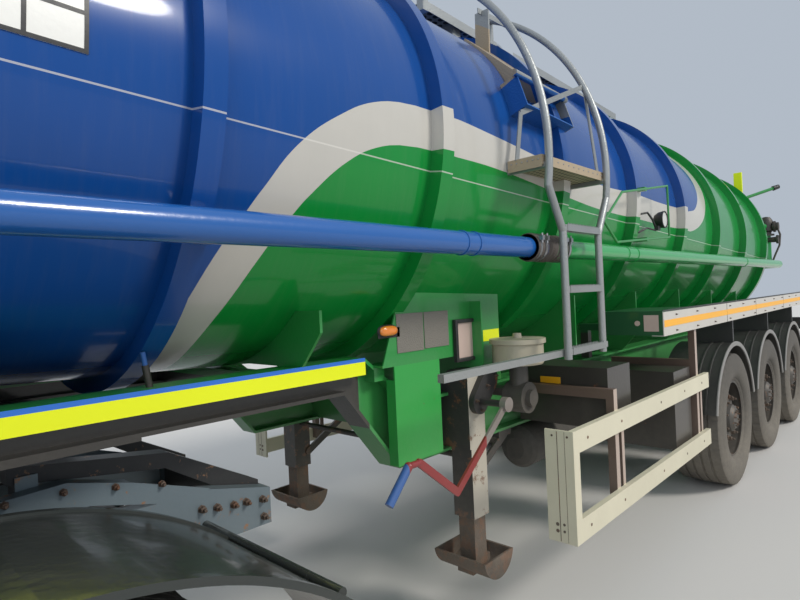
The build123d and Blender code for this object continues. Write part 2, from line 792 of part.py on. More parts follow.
def access_ladder():
    pieces = []
    for x, x_top in ladder_stiles:
        foot = (on_trailer(x), ladder_y, ladder_bottom)
        knee = (on_trailer(x), ladder_y, ladder_knee)
        shoulder = (on_trailer(x_top), ladder_y, ladder_shoulder)
        pieces.append(rod_between(foot, knee, stile_r))
        pieces.append(rod_between(knee, shoulder, stile_r))
        pieces.append(Pos(*knee) * Sphere(stile_r))
        pieces.append(Pos(*shoulder) * Sphere(stile_r))
        axis_z = tank_axis_z + x_top * math.tan(math.radians(tank_slope))
        start = math.degrees(math.atan2(ladder_shoulder - axis_z, ladder_y))
        hoop_r = math.hypot(ladder_shoulder - axis_z, ladder_y)
        ring = Plane(origin=(on_trailer(x_top), ladder_y, ladder_shoulder),
                     z_dir=(0, -math.sin(math.radians(start)), math.cos(math.radians(start))))
        hoop = revolve(ring * Circle(stile_r), revolution_arc=hoop_end - start,
                       axis=Axis((on_trailer(x_top), 0, axis_z), (1, 0, 0)))
        pieces.append(hoop)
        tip_y = hoop_r * math.cos(math.radians(hoop_end))
        tip_z = axis_z + hoop_r * math.sin(math.radians(hoop_end))
        pieces.append(slab((on_trailer(x_top) - 22, on_trailer(x_top) + 22), (tip_y - 30, tip_y + 12),
                           (axis_z + 880, tip_z + 20)))
        pieces.append(slab((on_trailer(x_top) - 12, on_trailer(x_top) + 12), (880, ladder_y),
                           (2150, 2175)))
    low, high = ladder_stiles[1][0], ladder_stiles[0][0]
    for i in range(rung_count):
        z = ladder_bottom + 35 + i * rung_gap
        pieces.append(slab((on_trailer(low), on_trailer(high)), (ladder_y - 16, ladder_y + 16),
                           (z - 14, z + 14)))
    pieces.append(slab((on_trailer(2080), on_trailer(2740)), (930, ladder_y - stile_r + 4), (2175, 2205)))
    back = ladder_y - stile_r
    pieces.append(slab((on_trailer(2120), on_trailer(3500)), (back - 27, back + 2),
                       (ladder_bottom + 15, ladder_bottom + 45)))
    return [joined(pieces) - on_tank(tank_room), shoulder_steps()]


def shoulder_steps():
    "Step well with its grip bar, tread plate and end post, on the tank's left shoulder."
    rear, front = well_ends
    inner = tank_r - 60
    outer = tank_r + well_out
    well = slab(well_ends, (inner, outer), (-well_half_height, well_half_height))
    well = well - slab((rear + 8, front - 8), (inner - 5, outer + 5),
                       (8 - well_half_height, well_half_height - 8))
    bar = Pos((rear + front) / 2, outer, well_half_height) * along(17, front - rear + 40)
    steps = Rot(well_angle, 0, 0) * (well + bar)
    low_y, low_z = tread_low
    high_y, high_z = tread_high
    tread = cross_plate([tread_low, tread_high, (high_y - 4, high_z - 5), (low_y - 4, low_z - 5)],
                        *tread_ends)
    skirt = [tread_low, tread_high, (high_y - 30, high_z - 60), (low_y - 90, low_z - 20)]
    for x in (tread_ends[0], tread_ends[1] - 5):
        steps = steps + cross_plate(skirt, x, x + 5)
    post = slab((2385, 2397), (high_y - 45, high_y + 45), (high_z - 90, high_z + 210))
    steps = (steps + tread + post) - tank_room
    return on_tank(steps.solids().sort_by(SortBy.VOLUME)[-1])


def top_walkway():
    deck = slab(walkway_ends, (-330, 330), (tank_r + ring_rise + 40, tank_r + ring_rise + 46))
    skirts = [slab(walkway_ends, (y, y + 5), (tank_r + ring_rise + 5, tank_r + ring_rise + 60))
              for y in (-330, 325)]
    feet = []
    for i in range(3, 6):
        u = rear_ring_u + i * ring_gap
        feet.append(slab((u - 40, u + 40), (-300, 300), (tank_r - 60, tank_r + ring_rise + 41)))
    hole = Pos(manway_u, 0, tank_r + 100) * Cylinder(manway_r + 90, 400)
    hole = hole + slab((manway_u - manway_r - 160, manway_u), (-90, 90), (tank_r, tank_r + 400))
    return [on_tank(joined([deck] + skirts + feet) - hole - tank_room)]


def trap_canister():
    "Moisture trap: a lidded canister over a round valve body, on a bracket from the rail."
    profile = [(0, 1240), (120, 1240), (126, 1250), (126, 1340), (138, 1344), (138, 1366), (24, 1370),
               (20, 1392), (0, 1392)]
    body = revolve(Plane.XZ * make_face(Polyline(*profile, close=True)), axis=Axis.Z)
    neck = Pos(0, 0, 1170) * Cylinder(46, 142)
    valve = Pos(0, 0, 1076) * (across(76, 110) + across(40, 160))
    bracket = slab((-40, 40), (rail_y + flange_width / 2 - canister_y, 0), (main_top - 40, main_top - 2))
    return [Pos(on_trailer(canister_x), canister_y, 0) * joined([body, neck, valve, bracket])]


def rear_bumper():
    end = on_trailer(rail_rear)
    bar = slab((end - 90, end + 20), (-1200, 1200), (underrun_low, underrun_high))
    arms = [slab((end - 60, end), (y - 30, y + 30), (underrun_high - 10, main_top - 100))
            for y in (-rail_y, rail_y)]
    board = slab((end - 60, end), (-1230, 1230), (main_top - 120, main_top + 20))
    return [joined([bar] + arms + [board])]


def rear_lamps():
    lamp = slab((on_trailer(rail_rear) - 100, on_trailer(rail_rear) - 60), (780, 1180),
                (main_top - 105, main_top - 5))
    return both_sides(lamp)


def outlet_valve():
    length = rear_overhang + trailer_axle_span + rear_ring_u
    pipe = Pos(tail_x + length / 2, 0, outlet_z) * along(outlet_r + 8, length)
    flange = Pos(tail_x + 14, 0, outlet_z) * along(outlet_r + 38, 28)
    valve = Pos(tail_x + 250, 0, outlet_z) * along(outlet_r + 45, 150)
    stem = Pos(tail_x + 250, 0, outlet_z + 150) * Cylinder(30, 160)
    bore = Pos(tail_x, 0, outlet_z) * along(outlet_r, 2 * outlet_bore)
    return [joined([pipe, flange, valve, stem]) - bore - on_tank(tank_room)]


# Tractor

def tractor_frame():
    rear = kingpin_x - frame_rear_behind
    front = nose_x - bumper_wall
    end_top = frame_top - 65
    end_low = end_top - frame_end_height
    outline = [(rear, end_low), (rear, end_top), (rear + 270, frame_top), (front, frame_top),
               (front, frame_bottom), (rear + 420, frame_bottom), (rear + 230, end_low)]
    edge = [(250, -1), (530, 95), (720, 145), (1000, 130)]    # upper edge of the side sheets
    # Plates along the rails, each with its outline from the rear end and the rail's top,
    # and its inner and outer depth behind the rail's outer face
    plates = (
        (edge + [(1000, -10), (940, -10), (840, 75), (650, 54), (410, -10)], 8, 0),
        (edge[1:] + [(1000, 124), (720, 139), (533, 89)], 60, 0),
        ([(10, -95), (10, -45), (370, 148), (860, 214), (860, 160), (385, 95), (80, -95)], 150, 70),
    )
    face = make_face(Polyline(*outline, close=True))
    room = Plane.XZ * offset(face, amount=-frame_wall, kind=Kind.INTERSECTION)
    pieces = []
    for side in (1, -1):
        y = side * (frame_half_width - frame_flange / 2)
        channel = side_plate(outline, y - frame_flange / 2, y + frame_flange / 2)
        low, high = sorted((y - side * frame_flange, y + side * (frame_flange / 2 - frame_wall)))
        pieces.append(channel - Pos(0, high, 0) * extrude(room, amount=high - low))
        for points, inner, outer in plates:
            low, high = sorted((side * (frame_half_width - inner), side * (frame_half_width - outer)))
            pieces.append(side_plate([(rear + x, frame_top + z) for x, z in points], low, high))
        low, high = sorted((side * (frame_half_width - 150), side * (frame_half_width - 61)))
        pieces.append(slab((rear + 780, rear + 840), (low, high), (frame_top - 5, frame_top + 180)))
        for x in (nose_x - 420, cab_back_x + 180):
            pieces.append(slab((x - 60, x + 60), (y - 35, y + 35), (frame_top - 2, cab_floor)))
    reach = frame_half_width - frame_wall + 1
    pieces.append(slab((rear + 20, rear + 80), (-reach, reach), (end_low + 12, end_top - 12)))
    for x in (drive_axle_x - 500, drive_axle_x + 620, drive_axle_x + 1500, nose_x - 260):
        pieces.append(slab((x - 30, x + 30), (-reach, reach), (frame_bottom + 40, frame_top - 100)))
    return [joined(pieces)]


def fifth_wheel():
    x = kingpin_x
    top = coupling_z - seat_gap
    plate = floor_plate([(x + 330, -430), (x + 420, -240), (x + 420, 240), (x + 330, 430),
                         (x - 80, 450), (x - 300, 430), (x - 520, 230), (x - 520, 120), (x - 120, 27),
                         (x - 120, -27), (x - 520, -120), (x - 520, -230), (x - 300, -430),
                         (x - 80, -450)], top - 42, top)
    slot = slab((x - 130, x), (-kingpin_r - running_gap, kingpin_r + running_gap), (top - 60, top + 10))
    bore = Pos(x, 0, top - 20) * Cylinder(kingpin_r + running_gap, 120)
    plate = plate - slot - bore
    pedestals = [side_plate([(x - 190, frame_top + 12), (x + 190, frame_top + 12), (x + 70, top - 40),
                             (x - 70, top - 40)], y - 30, y + 30) for y in (-360, 360)]
    base = slab((x - 420, x + 420), (-frame_half_width, frame_half_width), (frame_top, frame_top + 13))
    return [joined([plate] + pedestals + [base])]


def cab_hull(inset):
    side = make_face(Polyline(*[
        (cab_back_x, cab_floor), (cab_nose_x, cab_floor), (cab_nose_x, screen_low - 60),
        (cab_nose_x - screen_rake, screen_high + 60), (cab_nose_x - screen_rake - 260, cab_top),
        (cab_back_x, cab_top - 60)], close=True))
    side = fillet([v for v in side.vertices() if v.Y > screen_low - 100 and v.X > cab_back_x + 10], 140)
    plan = make_face(Polyline(*[
        (cab_back_x, -cab_half_width), (cab_nose_x - 300, -cab_half_width),
        (cab_nose_x - 90, -cab_half_width + 90), (cab_nose_x, -cab_half_width + 330),
        (cab_nose_x, cab_half_width - 330), (cab_nose_x - 90, cab_half_width - 90),
        (cab_nose_x - 300, cab_half_width), (cab_back_x, cab_half_width)], close=True))
    plan = fillet([v for v in plan.vertices() if v.X > cab_back_x + 10], 110)
    front = make_face(Polyline(*[
        (-cab_half_width, cab_floor), (cab_half_width, cab_floor), (cab_half_width, cab_top),
        (-cab_half_width, cab_top)], close=True))
    front = fillet([v for v in front.vertices() if v.Y > cab_top - 10], roof_edge_r)
    if inset:
        side = offset(side, amount=-inset, kind=Kind.INTERSECTION)
        plan = offset(plan, amount=-inset, kind=Kind.INTERSECTION)
        front = offset(front, amount=-inset, kind=Kind.INTERSECTION)
    width = cab_half_width + 10
    across_cab = Pos(0, width, 0) * extrude(Plane.XZ * side, amount=2 * width)
    up_cab = Pos(0, 0, cab_floor - 10) * extrude(plan, amount=cab_top - cab_floor + 20)
    along_cab = Pos(cab_back_x - 10, 0, 0) * extrude(Plane.YZ * front, amount=nose_x - cab_back_x)
    return across_cab & up_cab & along_cab


def door_outline(inset):
    points = [(door_rear_x + inset, door_low + inset), (door_front_x - inset, door_low + inset),
              (door_front_x - inset, screen_low), (door_front_x - 250 - inset, door_high - inset),
              (door_rear_x + inset, door_high - inset)]
    return points


def window_outline(inset):
    return [(door_rear_x + 90 + inset, window_low + inset),
            (door_front_x - 110 - inset, window_low + inset),
            (door_front_x - 290 - inset, window_high - inset),
            (door_rear_x + 90 + inset, window_high - inset)]


def screen_gap(inset):
    return slab((cab_nose_x - screen_rake - 200, cab_nose_x + 50),
                (-screen_half + inset, screen_half - inset),
                (screen_low + inset, screen_high - inset))


def hinge_place(side):
    return (door_front_x + door_hinge_ahead, side * (cab_half_width - door_hinge_in))


def cab_shell():
    shell = cab_hull(0) - cab_hull(cab_wall)
    for side in (1, -1):
        low, high = sorted((side * (cab_half_width - 2 * cab_wall), side * (cab_half_width + 20)))
        shell = shell - side_plate(door_outline(0), low, high)
        for z in door_hinge_heights:
            x, y = hinge_place(side)
            shell = shell - Pos(x, y, z) * Cylinder(hinge_pin_r + 18, hinge_length + 2)
            shell = shell + Pos(x, y, z) * Cylinder(hinge_pin_r, hinge_length + 20)
    return [shell - screen_gap(0)]


def windscreen():
    sheet = cab_hull(cab_wall / 2 - 4) - cab_hull(cab_wall / 2 + 4)
    return [sheet & screen_gap(seat_gap)]


def door(side):
    low, high = sorted((side * (cab_half_width - cab_wall), side * cab_half_width))
    panel = side_plate(door_outline(door_gap), low, high)
    panel = panel - side_plate(window_outline(0), low - 5, high + 5)
    x, y = hinge_place(side)
    for z in door_hinge_heights:
        knuckle = Pos(x, y, z) * Cylinder(hinge_pin_r + 10, hinge_length)
        arm_low, arm_high = sorted((y - side * 8, y + side * 8))
        arm = slab((door_front_x - door_gap - 10, x), (arm_low, arm_high),
                   (z - hinge_length / 2, z + hinge_length / 2))
        panel = panel + knuckle + arm
        panel = panel - Pos(x, y, z) * Cylinder(hinge_pin_r + running_gap, hinge_length + 60)
    return [panel]


def door_glass(side):
    middle = side * (cab_half_width - cab_wall / 2)
    return [side_plate(window_outline(seat_gap), middle - 3, middle + 3)]


def cab_front():
    "Grille panel below the screen."
    panel = slab((cab_nose_x, cab_nose_x + 36), (-900, 900), (cab_floor + 20, screen_low - 80))
    for i in range(5):
        z = cab_floor + 90 + i * 105
        panel = panel - slab((cab_nose_x + 12, cab_nose_x + 40), (-780, 780), (z, z + 62))
    return [panel]


def mirrors():
    x = door_front_x + 50
    housing = slab((x - 40, x + 60), (cab_half_width + 70, cab_half_width + 250), (1900, 2500))
    arms = [slab((x - 10, x + 15), (cab_half_width, cab_half_width + 90), (z, z + 25))
            for z in (1960, 2420)]
    return both_sides(joined([housing] + arms))


def front_bumper():
    def ring(inset):
        return [(front_axle_x + wheel_room, body_half_width - inset),
                (nose_x - 330, body_half_width - inset), (nose_x - 80, body_half_width - 130 - inset),
                (nose_x - inset, body_half_width - 420), (nose_x - inset, -body_half_width + 420),
                (nose_x - 80, -body_half_width + 130 + inset), (nose_x - 330, -body_half_width + inset),
                (front_axle_x + wheel_room, -body_half_width + inset)]
    outer = floor_plate(ring(0), bumper_low, bumper_high)
    inner = floor_plate(ring(bumper_wall), bumper_low - 5, bumper_high + 5)
    opening = slab((front_axle_x, front_axle_x + wheel_room + 10),
                   (-body_half_width + bumper_wall, body_half_width - bumper_wall),
                   (bumper_low - 5, bumper_high + 5))
    bumper = outer - inner - opening
    for side in (1, -1):
        low, high = sorted((side * (body_half_width - 250), side * (body_half_width + 20)))
        for z in (430, 760):
            bumper = bumper - slab((front_axle_x + wheel_room + 60, nose_x - 420), (low, high),
                                   (z, z + 190))
            bumper = bumper + slab((front_axle_x + wheel_room + 60, nose_x - 420),
                                   sorted((side * (body_half_width - 250), side * body_half_width)),
                                   (z - 30, z + 1))
        low, high = sorted((side * 700, side * 1010))
        bumper = bumper - slab((nose_x - 150, nose_x + 10), (low, high), (620, 800))
    return [bumper]


def headlamps():
    lamps = []
    for side in (1, -1):
        low, high = sorted((side * 700.3, side * 880))
        lamps.append(slab((nose_x - bumper_wall, nose_x - 8), (low, high), (620.3, 799.7)))
    return lamps


def engine_block():
    block = slab((front_axle_x - 750, front_axle_x + 450), (-330, 330), (600, cab_floor - 30))
    gearbox = slab((front_axle_x - gearbox_reach, front_axle_x - 749), (-210, 210), (500, 850))
    lugs = [slab((x - 50, x + 50), (-400, 400), (frame_top, frame_top + 40))
            for x in (front_axle_x - 600, front_axle_x + 300)]
    return [joined([block, gearbox] + lugs)]


def cab_interior():
    floor = cab_floor + cab_wall
    pieces = []
    for side in (1, -1):
        y = side * 620
        base = slab((seat_x - 200, seat_x + 200), (y - 200, y + 200), (floor, floor + 260))
        cushion = slab((seat_x - 250, seat_x + 270), (y - 250, y + 250), (floor + 258, floor + 400))
        back = side_plate([(seat_x - 250, floor + 380), (seat_x - 110, floor + 380),
                           (seat_x - 260, floor + 1180), (seat_x - 370, floor + 1160)],
                          y - 240, y + 240)
        pieces.append(joined([base, cushion, back]))
    return pieces


def dashboard():
    floor = cab_floor + cab_wall
    front = cab_nose_x - cab_wall
    board = side_plate([(front - 420, floor + 420), (front - 30, floor + 300), (front - 30, floor + 640),
                        (front - 300, floor + 690), (front - 430, floor + 600)], -900, 900)
    column = rod_between((front - 380, 620, floor + 560), (front - 560, 620, floor + 700), 30)
    wheel_plane = Plane(origin=(front - 560, 620, floor + 700), z_dir=(-180, 0, 140))
    wheel = wheel_plane * (Torus(215, 16) + Box(400, 34, 16) + Cylinder(60, 24))
    foot = slab((front - 400, front - 200), (-300, 300), (floor, floor + 450))
    return [joined([board, column, wheel, foot])]


def side_tanks():
    left = slab((drive_axle_x + 800, front_axle_x - 780), (frame_half_width, 1150), (430, 1000))
    left = fillet(left.edges().filter_by(Axis.X), 70)
    return [left, other_side(left)]


def drive_guard_point(angle, inset):
    "Point of the drive wheels' guard from the axle: round it at the front, wider behind its top."
    middle_x, middle_z, sweep_r = drive_guard_sweep
    if angle > 90:
        x, z, r = middle_x, middle_z, sweep_r - inset
    else:
        x, z, r = 0, 0, math.sqrt((sweep_r - inset) ** 2 - middle_x ** 2) + middle_z
    return (x + r * math.cos(math.radians(angle)), z + r * math.sin(math.radians(angle)))


def drive_guard_band(low_inset, high_inset, y_low, y_high):
    "Part of the guard between two depths below its outer face."
    middle_x, middle_z, sweep_r = drive_guard_sweep
    top = 90 + math.degrees(math.asin(middle_x / sweep_r))
    end = math.degrees(math.acos((-drive_guard_reach - middle_x) / sweep_r))
    rows = []
    for inset in (low_inset, high_inset):
        front = [drive_guard_point(angle, inset) for angle in (14, 52, 90)]
        rear = [drive_guard_point(angle, inset) for angle in (top, (top + end) / 2, end)]
        rear[0] = front[2]
        rows.append((front, rear))
    (front, rear), (under_front, under_rear) = rows
    outline = Curve() + [
        ThreePointArc(*front), ThreePointArc(*rear), Line(rear[2], under_rear[2]),
        ThreePointArc(*reversed(under_rear)), ThreePointArc(*reversed(under_front)),
        Line(under_front[0], front[0])]
    return Pos(0, y_high, 0) * extrude(Plane.XZ * make_face(outline), amount=y_high - y_low)


def tractor_mudguards():
    guards = []
    for side in (1, -1):
        low, high = sorted((side * twin_inner_y, side * body_half_width))
        pieces = [drive_guard_band(0, guard_wall, low, high)]
        for edge, way in ((twin_inner_y, 1), (body_half_width, -1)):
            lip_low, lip_high = sorted((side * edge, side * (edge + way * guard_lip)))
            pieces.append(drive_guard_band(-8, 1, lip_low, lip_high))
        bar_low, bar_high = sorted((side * frame_half_width, side * (body_half_width - 60)))
        for x, z in (drive_guard_point(30, -10), drive_guard_point(130, -10)):
            pieces.append(Pos(x, (bar_low + bar_high) / 2, z) * across(16, bar_high - bar_low))
        guards.append(Pos(drive_axle_x, 0, tractor_tyre_r) * joined(pieces))
        low, high = sorted((side * 850, side * (body_half_width - 10)))
        front = arch(front_guard_r, guard_wall, 20, 160, low, high)
        top = front_guard_r + guard_wall
        hanger = slab((-60, 60), sorted((side * 900, side * 1150)),
                      (top - 6, cab_floor - tractor_tyre_r))
        guards.append(Pos(front_axle_x, 0, tractor_tyre_r) * joined([front, hanger]))
    return guards


def front_axle():
    beam = slab((-45, 45), (-steer_y + 20, steer_y - 20), (-45, 45))
    pieces = [beam]
    for side in (1, -1):
        boss = Pos(0, side * steer_y, 0) * Cylinder(boss_r, 2 * boss_half)
        pieces.append(boss)
        y = side * 400
        seat = frame_bottom - tractor_tyre_r
        leaf = side_plate([(-750, 80), (-750, seat), (-690, seat), (-690, 100), (-200, 75), (200, 75),
                           (690, 100), (690, seat), (750, seat), (750, 80), (200, 44), (-200, 44)],
                          y - 40, y + 40)
        pieces.append(leaf)
    axle = joined(pieces)
    for side in (1, -1):
        axle = axle - Pos(0, side * steer_y, 0) * Cylinder(steer_pin_r + running_gap, 300)
    return Pos(front_axle_x, 0, tractor_tyre_r) * axle


def drive_axle():
    root = spindle_root(drive_outer_y, drive_disc_out - disc_thickness) - side_gap
    beam = across(75, 2 * root)
    spindles = across(spindle_r, 2 * (root + spindle_length))
    housing = Sphere(215) & slab((-215, 215), (-150, 150), (-215, 110))
    shaft = rod_between((150, 0, 60), (wheelbase - gearbox_reach - 1, 0, 90), 40)
    pieces = [beam, spindles, housing, shaft]
    for side in (1, -1):
        y = side * drive_bag_y
        pieces.append(side_plate([(-520, -175), (520, -175), (520, -130), (120, -60), (120, 50),
                                  (-120, 50), (-120, -60), (-520, -130)], y - 40, y + 40))
        for x in (-430, 430):
            bag = air_spring(x, y, -130 - 24, frame_bottom - tractor_tyre_r, 105)
            pieces.append(bag)
    return Pos(drive_axle_x, 0, tractor_tyre_r) * joined(pieces)


def tractor_axles():
    return [front_axle(), drive_axle()]


def knuckle(side):
    root = spindle_root(front_wheel_y, front_disc_out)
    web = slab((-50, 50), (steer_y + boss_r + 9, root - 8), (-boss_half - 40, boss_half + 40))
    ears = [slab((-50, 50), (steer_y - 45, root - 9), pair)
            for pair in ((-boss_half - 40, -boss_half - side_gap), (boss_half + side_gap, boss_half + 40))]
    pin = Pos(0, steer_y, 0) * Cylinder(steer_pin_r, 2 * boss_half + 60)
    spindle_tip = root + spindle_length - side_gap
    spindle = Pos(0, (root - 20 + spindle_tip) / 2, 0) * across(spindle_r, spindle_tip - root + 20)
    piece = joined([web] + ears + [pin, spindle])
    piece = Pos(front_axle_x, 0, tractor_tyre_r) * piece
    return [piece if side > 0 else other_side(piece)]


# Wheels in place

def placed(shapes, x, y, radius, side):
    moved = [Pos(x, y, radius) * shape for shape in shapes]
    return moved if side > 0 else [other_side(shape) for shape in moved]


parts = {
    "tank_shell": [on_tank(tank_solid())],
    "manway_collars": [on_tank(manway_collar()), on_tank(rear_manway_collar())],
    "manway_lid": [manway_lid()],
    "rear_door": [rear_door()],
    "trailer_frame": [trailer_frame()],
    "trailer_axles": [trailer_axle(x) for x in trailer_axle_places],
    "trailer_air_springs": trailer_air_springs(),
    "trailer_mudguards": trailer_mudguards(),
    "side_boards": side_boards(),
    "side_guards": side_guards(),
    "leg_housings": leg_housings(),
    "leg_feet": leg_feet(),
    "leg_crank": leg_crank(),
    "side_cabinet": side_cabinet(),
    "suction_pipe": suction_pipe(),
    "access_ladder": access_ladder(),
    "top_walkway": top_walkway(),
    "trap_canister": trap_canister(),
    "rear_bumper": rear_bumper(),
    "rear_lamps": rear_lamps(),
    "outlet_valve": outlet_valve(),
    "tractor_frame": tractor_frame(),
    "fifth_wheel": fifth_wheel(),
    "cab_shell": cab_shell(),
    "cab_front": cab_front() + mirrors(),
    "windscreen": windscreen(),
    "front_bumper": front_bumper(),
    "headlamps": headlamps(),
    "engine_block": engine_block(),
    "seats": cab_interior(),
    "dashboard": dashboard(),
    "side_tanks": side_tanks(),
    "tractor_mudguards": tractor_mudguards(),
    "tractor_axles": tractor_axles(),
}

trailer_tyre = tyre(trailer_tyre_r, trailer_tyre_width)
trailer_rim = rim(trailer_tyre_width, trailer_disc_out, trailer_disc_out - outboard_dish, 62)
tractor_tyre = tyre(tractor_tyre_r, tractor_tyre_width)
front_rim = rim(tractor_tyre_width, front_disc_out, front_disc_out - outboard_dish, 62)
outer_twin = rim(tractor_tyre_width, drive_disc_out, drive_disc_out + twin_dish, 150, drum=False)
inner_twin = other_side(rim(tractor_tyre_width, drive_disc_out, drive_disc_out + twin_dish, 0, drum=False))
twin_rim = joined([outer_twin, Pos(0, -twin_gap, 0) * inner_twin])
twin_face = Pos(0, drive_disc_out - 2 * disc_thickness, 0)
twin_rim = (twin_rim + twin_face * brake_drum()) - twin_face * hub_bore()

for side, name in ((1, "left"), (-1, "right")):
    parts["door_" + name] = door(side)
    parts["door_glass_" + name] = door_glass(side)
    parts["knuckle_" + name] = knuckle(side)
    for i, x in enumerate(trailer_axle_places):
        end = name + "_" + str(i + 1)
        parts["trailer_tyre_" + end] = placed([trailer_tyre], x, trailer_wheel_y, trailer_tyre_r, side)
        parts["trailer_rim_" + end] = placed([trailer_rim], x, trailer_wheel_y, trailer_tyre_r, side)
    parts["front_tyre_" + name] = placed([tractor_tyre], front_axle_x, front_wheel_y, tractor_tyre_r, side)
    parts["front_rim_" + name] = placed([front_rim], front_axle_x, front_wheel_y, tractor_tyre_r, side)
    parts["drive_tyres_" + name] = placed([tractor_tyre, Pos(0, -twin_gap, 0) * tractor_tyre],
                                          drive_axle_x, drive_outer_y, tractor_tyre_r, side)
    parts["drive_rims_" + name] = placed([twin_rim], drive_axle_x, drive_outer_y, tractor_tyre_r, side)

os.makedirs("parts", exist_ok=True)
for name, solids in parts.items():
    whole = solids[0] if len(solids) == 1 else Compound(children=list(solids))
    export_step(whole, "parts/" + name + ".step")
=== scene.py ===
import math

import bmesh
import bpy
import numpy as np
from mathutils import Matrix, Vector


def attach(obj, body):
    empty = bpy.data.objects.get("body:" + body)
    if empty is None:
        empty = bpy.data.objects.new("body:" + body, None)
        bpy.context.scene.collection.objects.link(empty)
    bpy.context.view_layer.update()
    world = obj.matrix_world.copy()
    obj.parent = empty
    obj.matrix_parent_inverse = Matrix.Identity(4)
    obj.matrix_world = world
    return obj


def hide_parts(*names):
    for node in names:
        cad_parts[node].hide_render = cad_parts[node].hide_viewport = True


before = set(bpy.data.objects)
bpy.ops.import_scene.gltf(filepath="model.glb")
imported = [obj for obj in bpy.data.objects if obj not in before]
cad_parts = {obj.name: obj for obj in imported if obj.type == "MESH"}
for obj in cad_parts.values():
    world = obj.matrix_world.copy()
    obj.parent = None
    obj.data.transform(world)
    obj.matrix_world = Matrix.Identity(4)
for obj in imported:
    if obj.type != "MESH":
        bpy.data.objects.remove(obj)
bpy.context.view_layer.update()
print("frame loaded")

# Shared frame in metres: +X forward, +Y to the left, +Z up. Places along the trailer count
# from its first axle, as in the solids.
firstAxle = -3.155
axlePitch = 1.31
pipeAxis = (0, 1.03, 1.80)
tank = {"radius": 0.947, "axisHeight": 2.134, "slope": math.radians(2.09)}
rng = np.random.default_rng(7)


def onTrailer(x):
    return firstAxle + x


def tankPoint(u, angle, radius):
    # (u, r cos a, r sin a) turned by the slope about Y and set on the axis
    across, up = radius * np.cos(angle), radius * np.sin(angle)
    cosS, sinS = math.cos(tank["slope"]), math.sin(tank["slope"])
    return np.stack([firstAxle + u * cosS - up * sinS, across + 0 * u,
                     tank["axisHeight"] + u * sinS + up * cosS], axis=-1)


# Shapes: each returns points and faces, so that a piece can be joined from many.

def gridShape(points, closeU=False, closeV=False):
    rows, columns = points.shape[:2]
    index = np.arange(rows * columns).reshape(rows, columns)
    if closeU:
        index = np.vstack([index, index[:1]])
    if closeV:
        index = np.hstack([index, index[:, :1]])
    faces = np.stack([index[:-1, :-1], index[:-1, 1:], index[1:, 1:], index[1:, :-1]], axis=-1)
    return points.reshape(-1, 3), faces.reshape(-1, 4).tolist()


def cappedGrid(points):
    # rings joined to a tube, with both ends closed
    rows, steps = points.shape[:2]
    last = (rows - 1) * steps
    vertices, faces = gridShape(points, closeV=True)
    return vertices, faces + [list(range(steps)), list(range(last + steps - 1, last - 1, -1))]


def boxShape(low, high):
    low, high = np.minimum(low, high), np.maximum(low, high)
    corners = np.array([[low[0], low[1], low[2]], [high[0], low[1], low[2]],
                        [high[0], high[1], low[2]], [low[0], high[1], low[2]],
                        [low[0], low[1], high[2]], [high[0], low[1], high[2]],
                        [high[0], high[1], high[2]], [low[0], high[1], high[2]]], float)
    return corners, [[0, 3, 2, 1], [4, 5, 6, 7], [0, 1, 5, 4], [1, 2, 6, 5], [2, 3, 7, 6], [3, 0, 4, 7]]


def trailerBox(low, high):
    # box whose x counts from the trailer's first axle
    return boxShape((onTrailer(low[0]), *low[1:]), (onTrailer(high[0]), *high[1:]))


def trailerPath(points):
    # points whose x counts from the trailer's first axle
    return [(onTrailer(x), y, z) for x, y, z in points]


def latheShape(profile, centre, axis="Y", steps=24):
    # profile of (along, radius) pairs turned about the axis through the centre
    angles = np.linspace(0, 2 * math.pi, steps, endpoint=False)
    profile = np.array(profile, float)
    along = np.repeat(profile[:, :1], steps, axis=1)
    first = profile[:, 1:] * np.cos(angles)
    second = profile[:, 1:] * np.sin(angles)
    order = {"X": (along, first, second), "Y": (second, along, first), "Z": (first, second, along)}
    return cappedGrid(np.stack(order[axis], axis=-1) + np.array(centre, float))


def tubeShape(path, radius, steps=12):
    # circle of the radius carried along the path with a turning frame kept from twisting
    path = np.array(path, float)
    radius = np.broadcast_to(radius, (len(path),))
    tangents = np.gradient(path, axis=0)
    tangents /= np.linalg.norm(tangents, axis=1)[:, None]
    side = np.cross(tangents[0], [0.0, 0.0, 1.0])
    if np.linalg.norm(side) < 0.2:
        side = np.cross(tangents[0], [1.0, 0.0, 0.0])
    sides = []
    for tangent in tangents:
        side = side - tangent * (side @ tangent)
        side = side / np.linalg.norm(side)
        sides.append(side)
    sides = np.array(sides)
    ups = np.cross(tangents, sides)
    angles = np.linspace(0, 2 * math.pi, steps, endpoint=False)
    ring = (sides[:, None] * np.cos(angles)[None, :, None] + ups[:, None] * np.sin(angles)[None, :, None])
    return cappedGrid(path[:, None] + ring * radius[:, None, None])


def mirrored(shape):
    vertices, faces = shape
    return vertices * np.array([1, -1, 1]), [face[::-1] for face in faces]


def bothSides(shapes):
    return shapes + [mirrored(shape) for shape in shapes]


def joined(shapes):
    vertices, faces, start = [], [], 0
    for points, polygons in shapes:
        vertices.append(points)
        faces += [[i + start for i in polygon] for polygon in polygons]
        start += len(points)
    return np.vstack(vertices), faces


def newObject(name, data):
    holder = bpy.data.objects.new(name, data)
    bpy.context.scene.collection.objects.link(holder)
    return holder


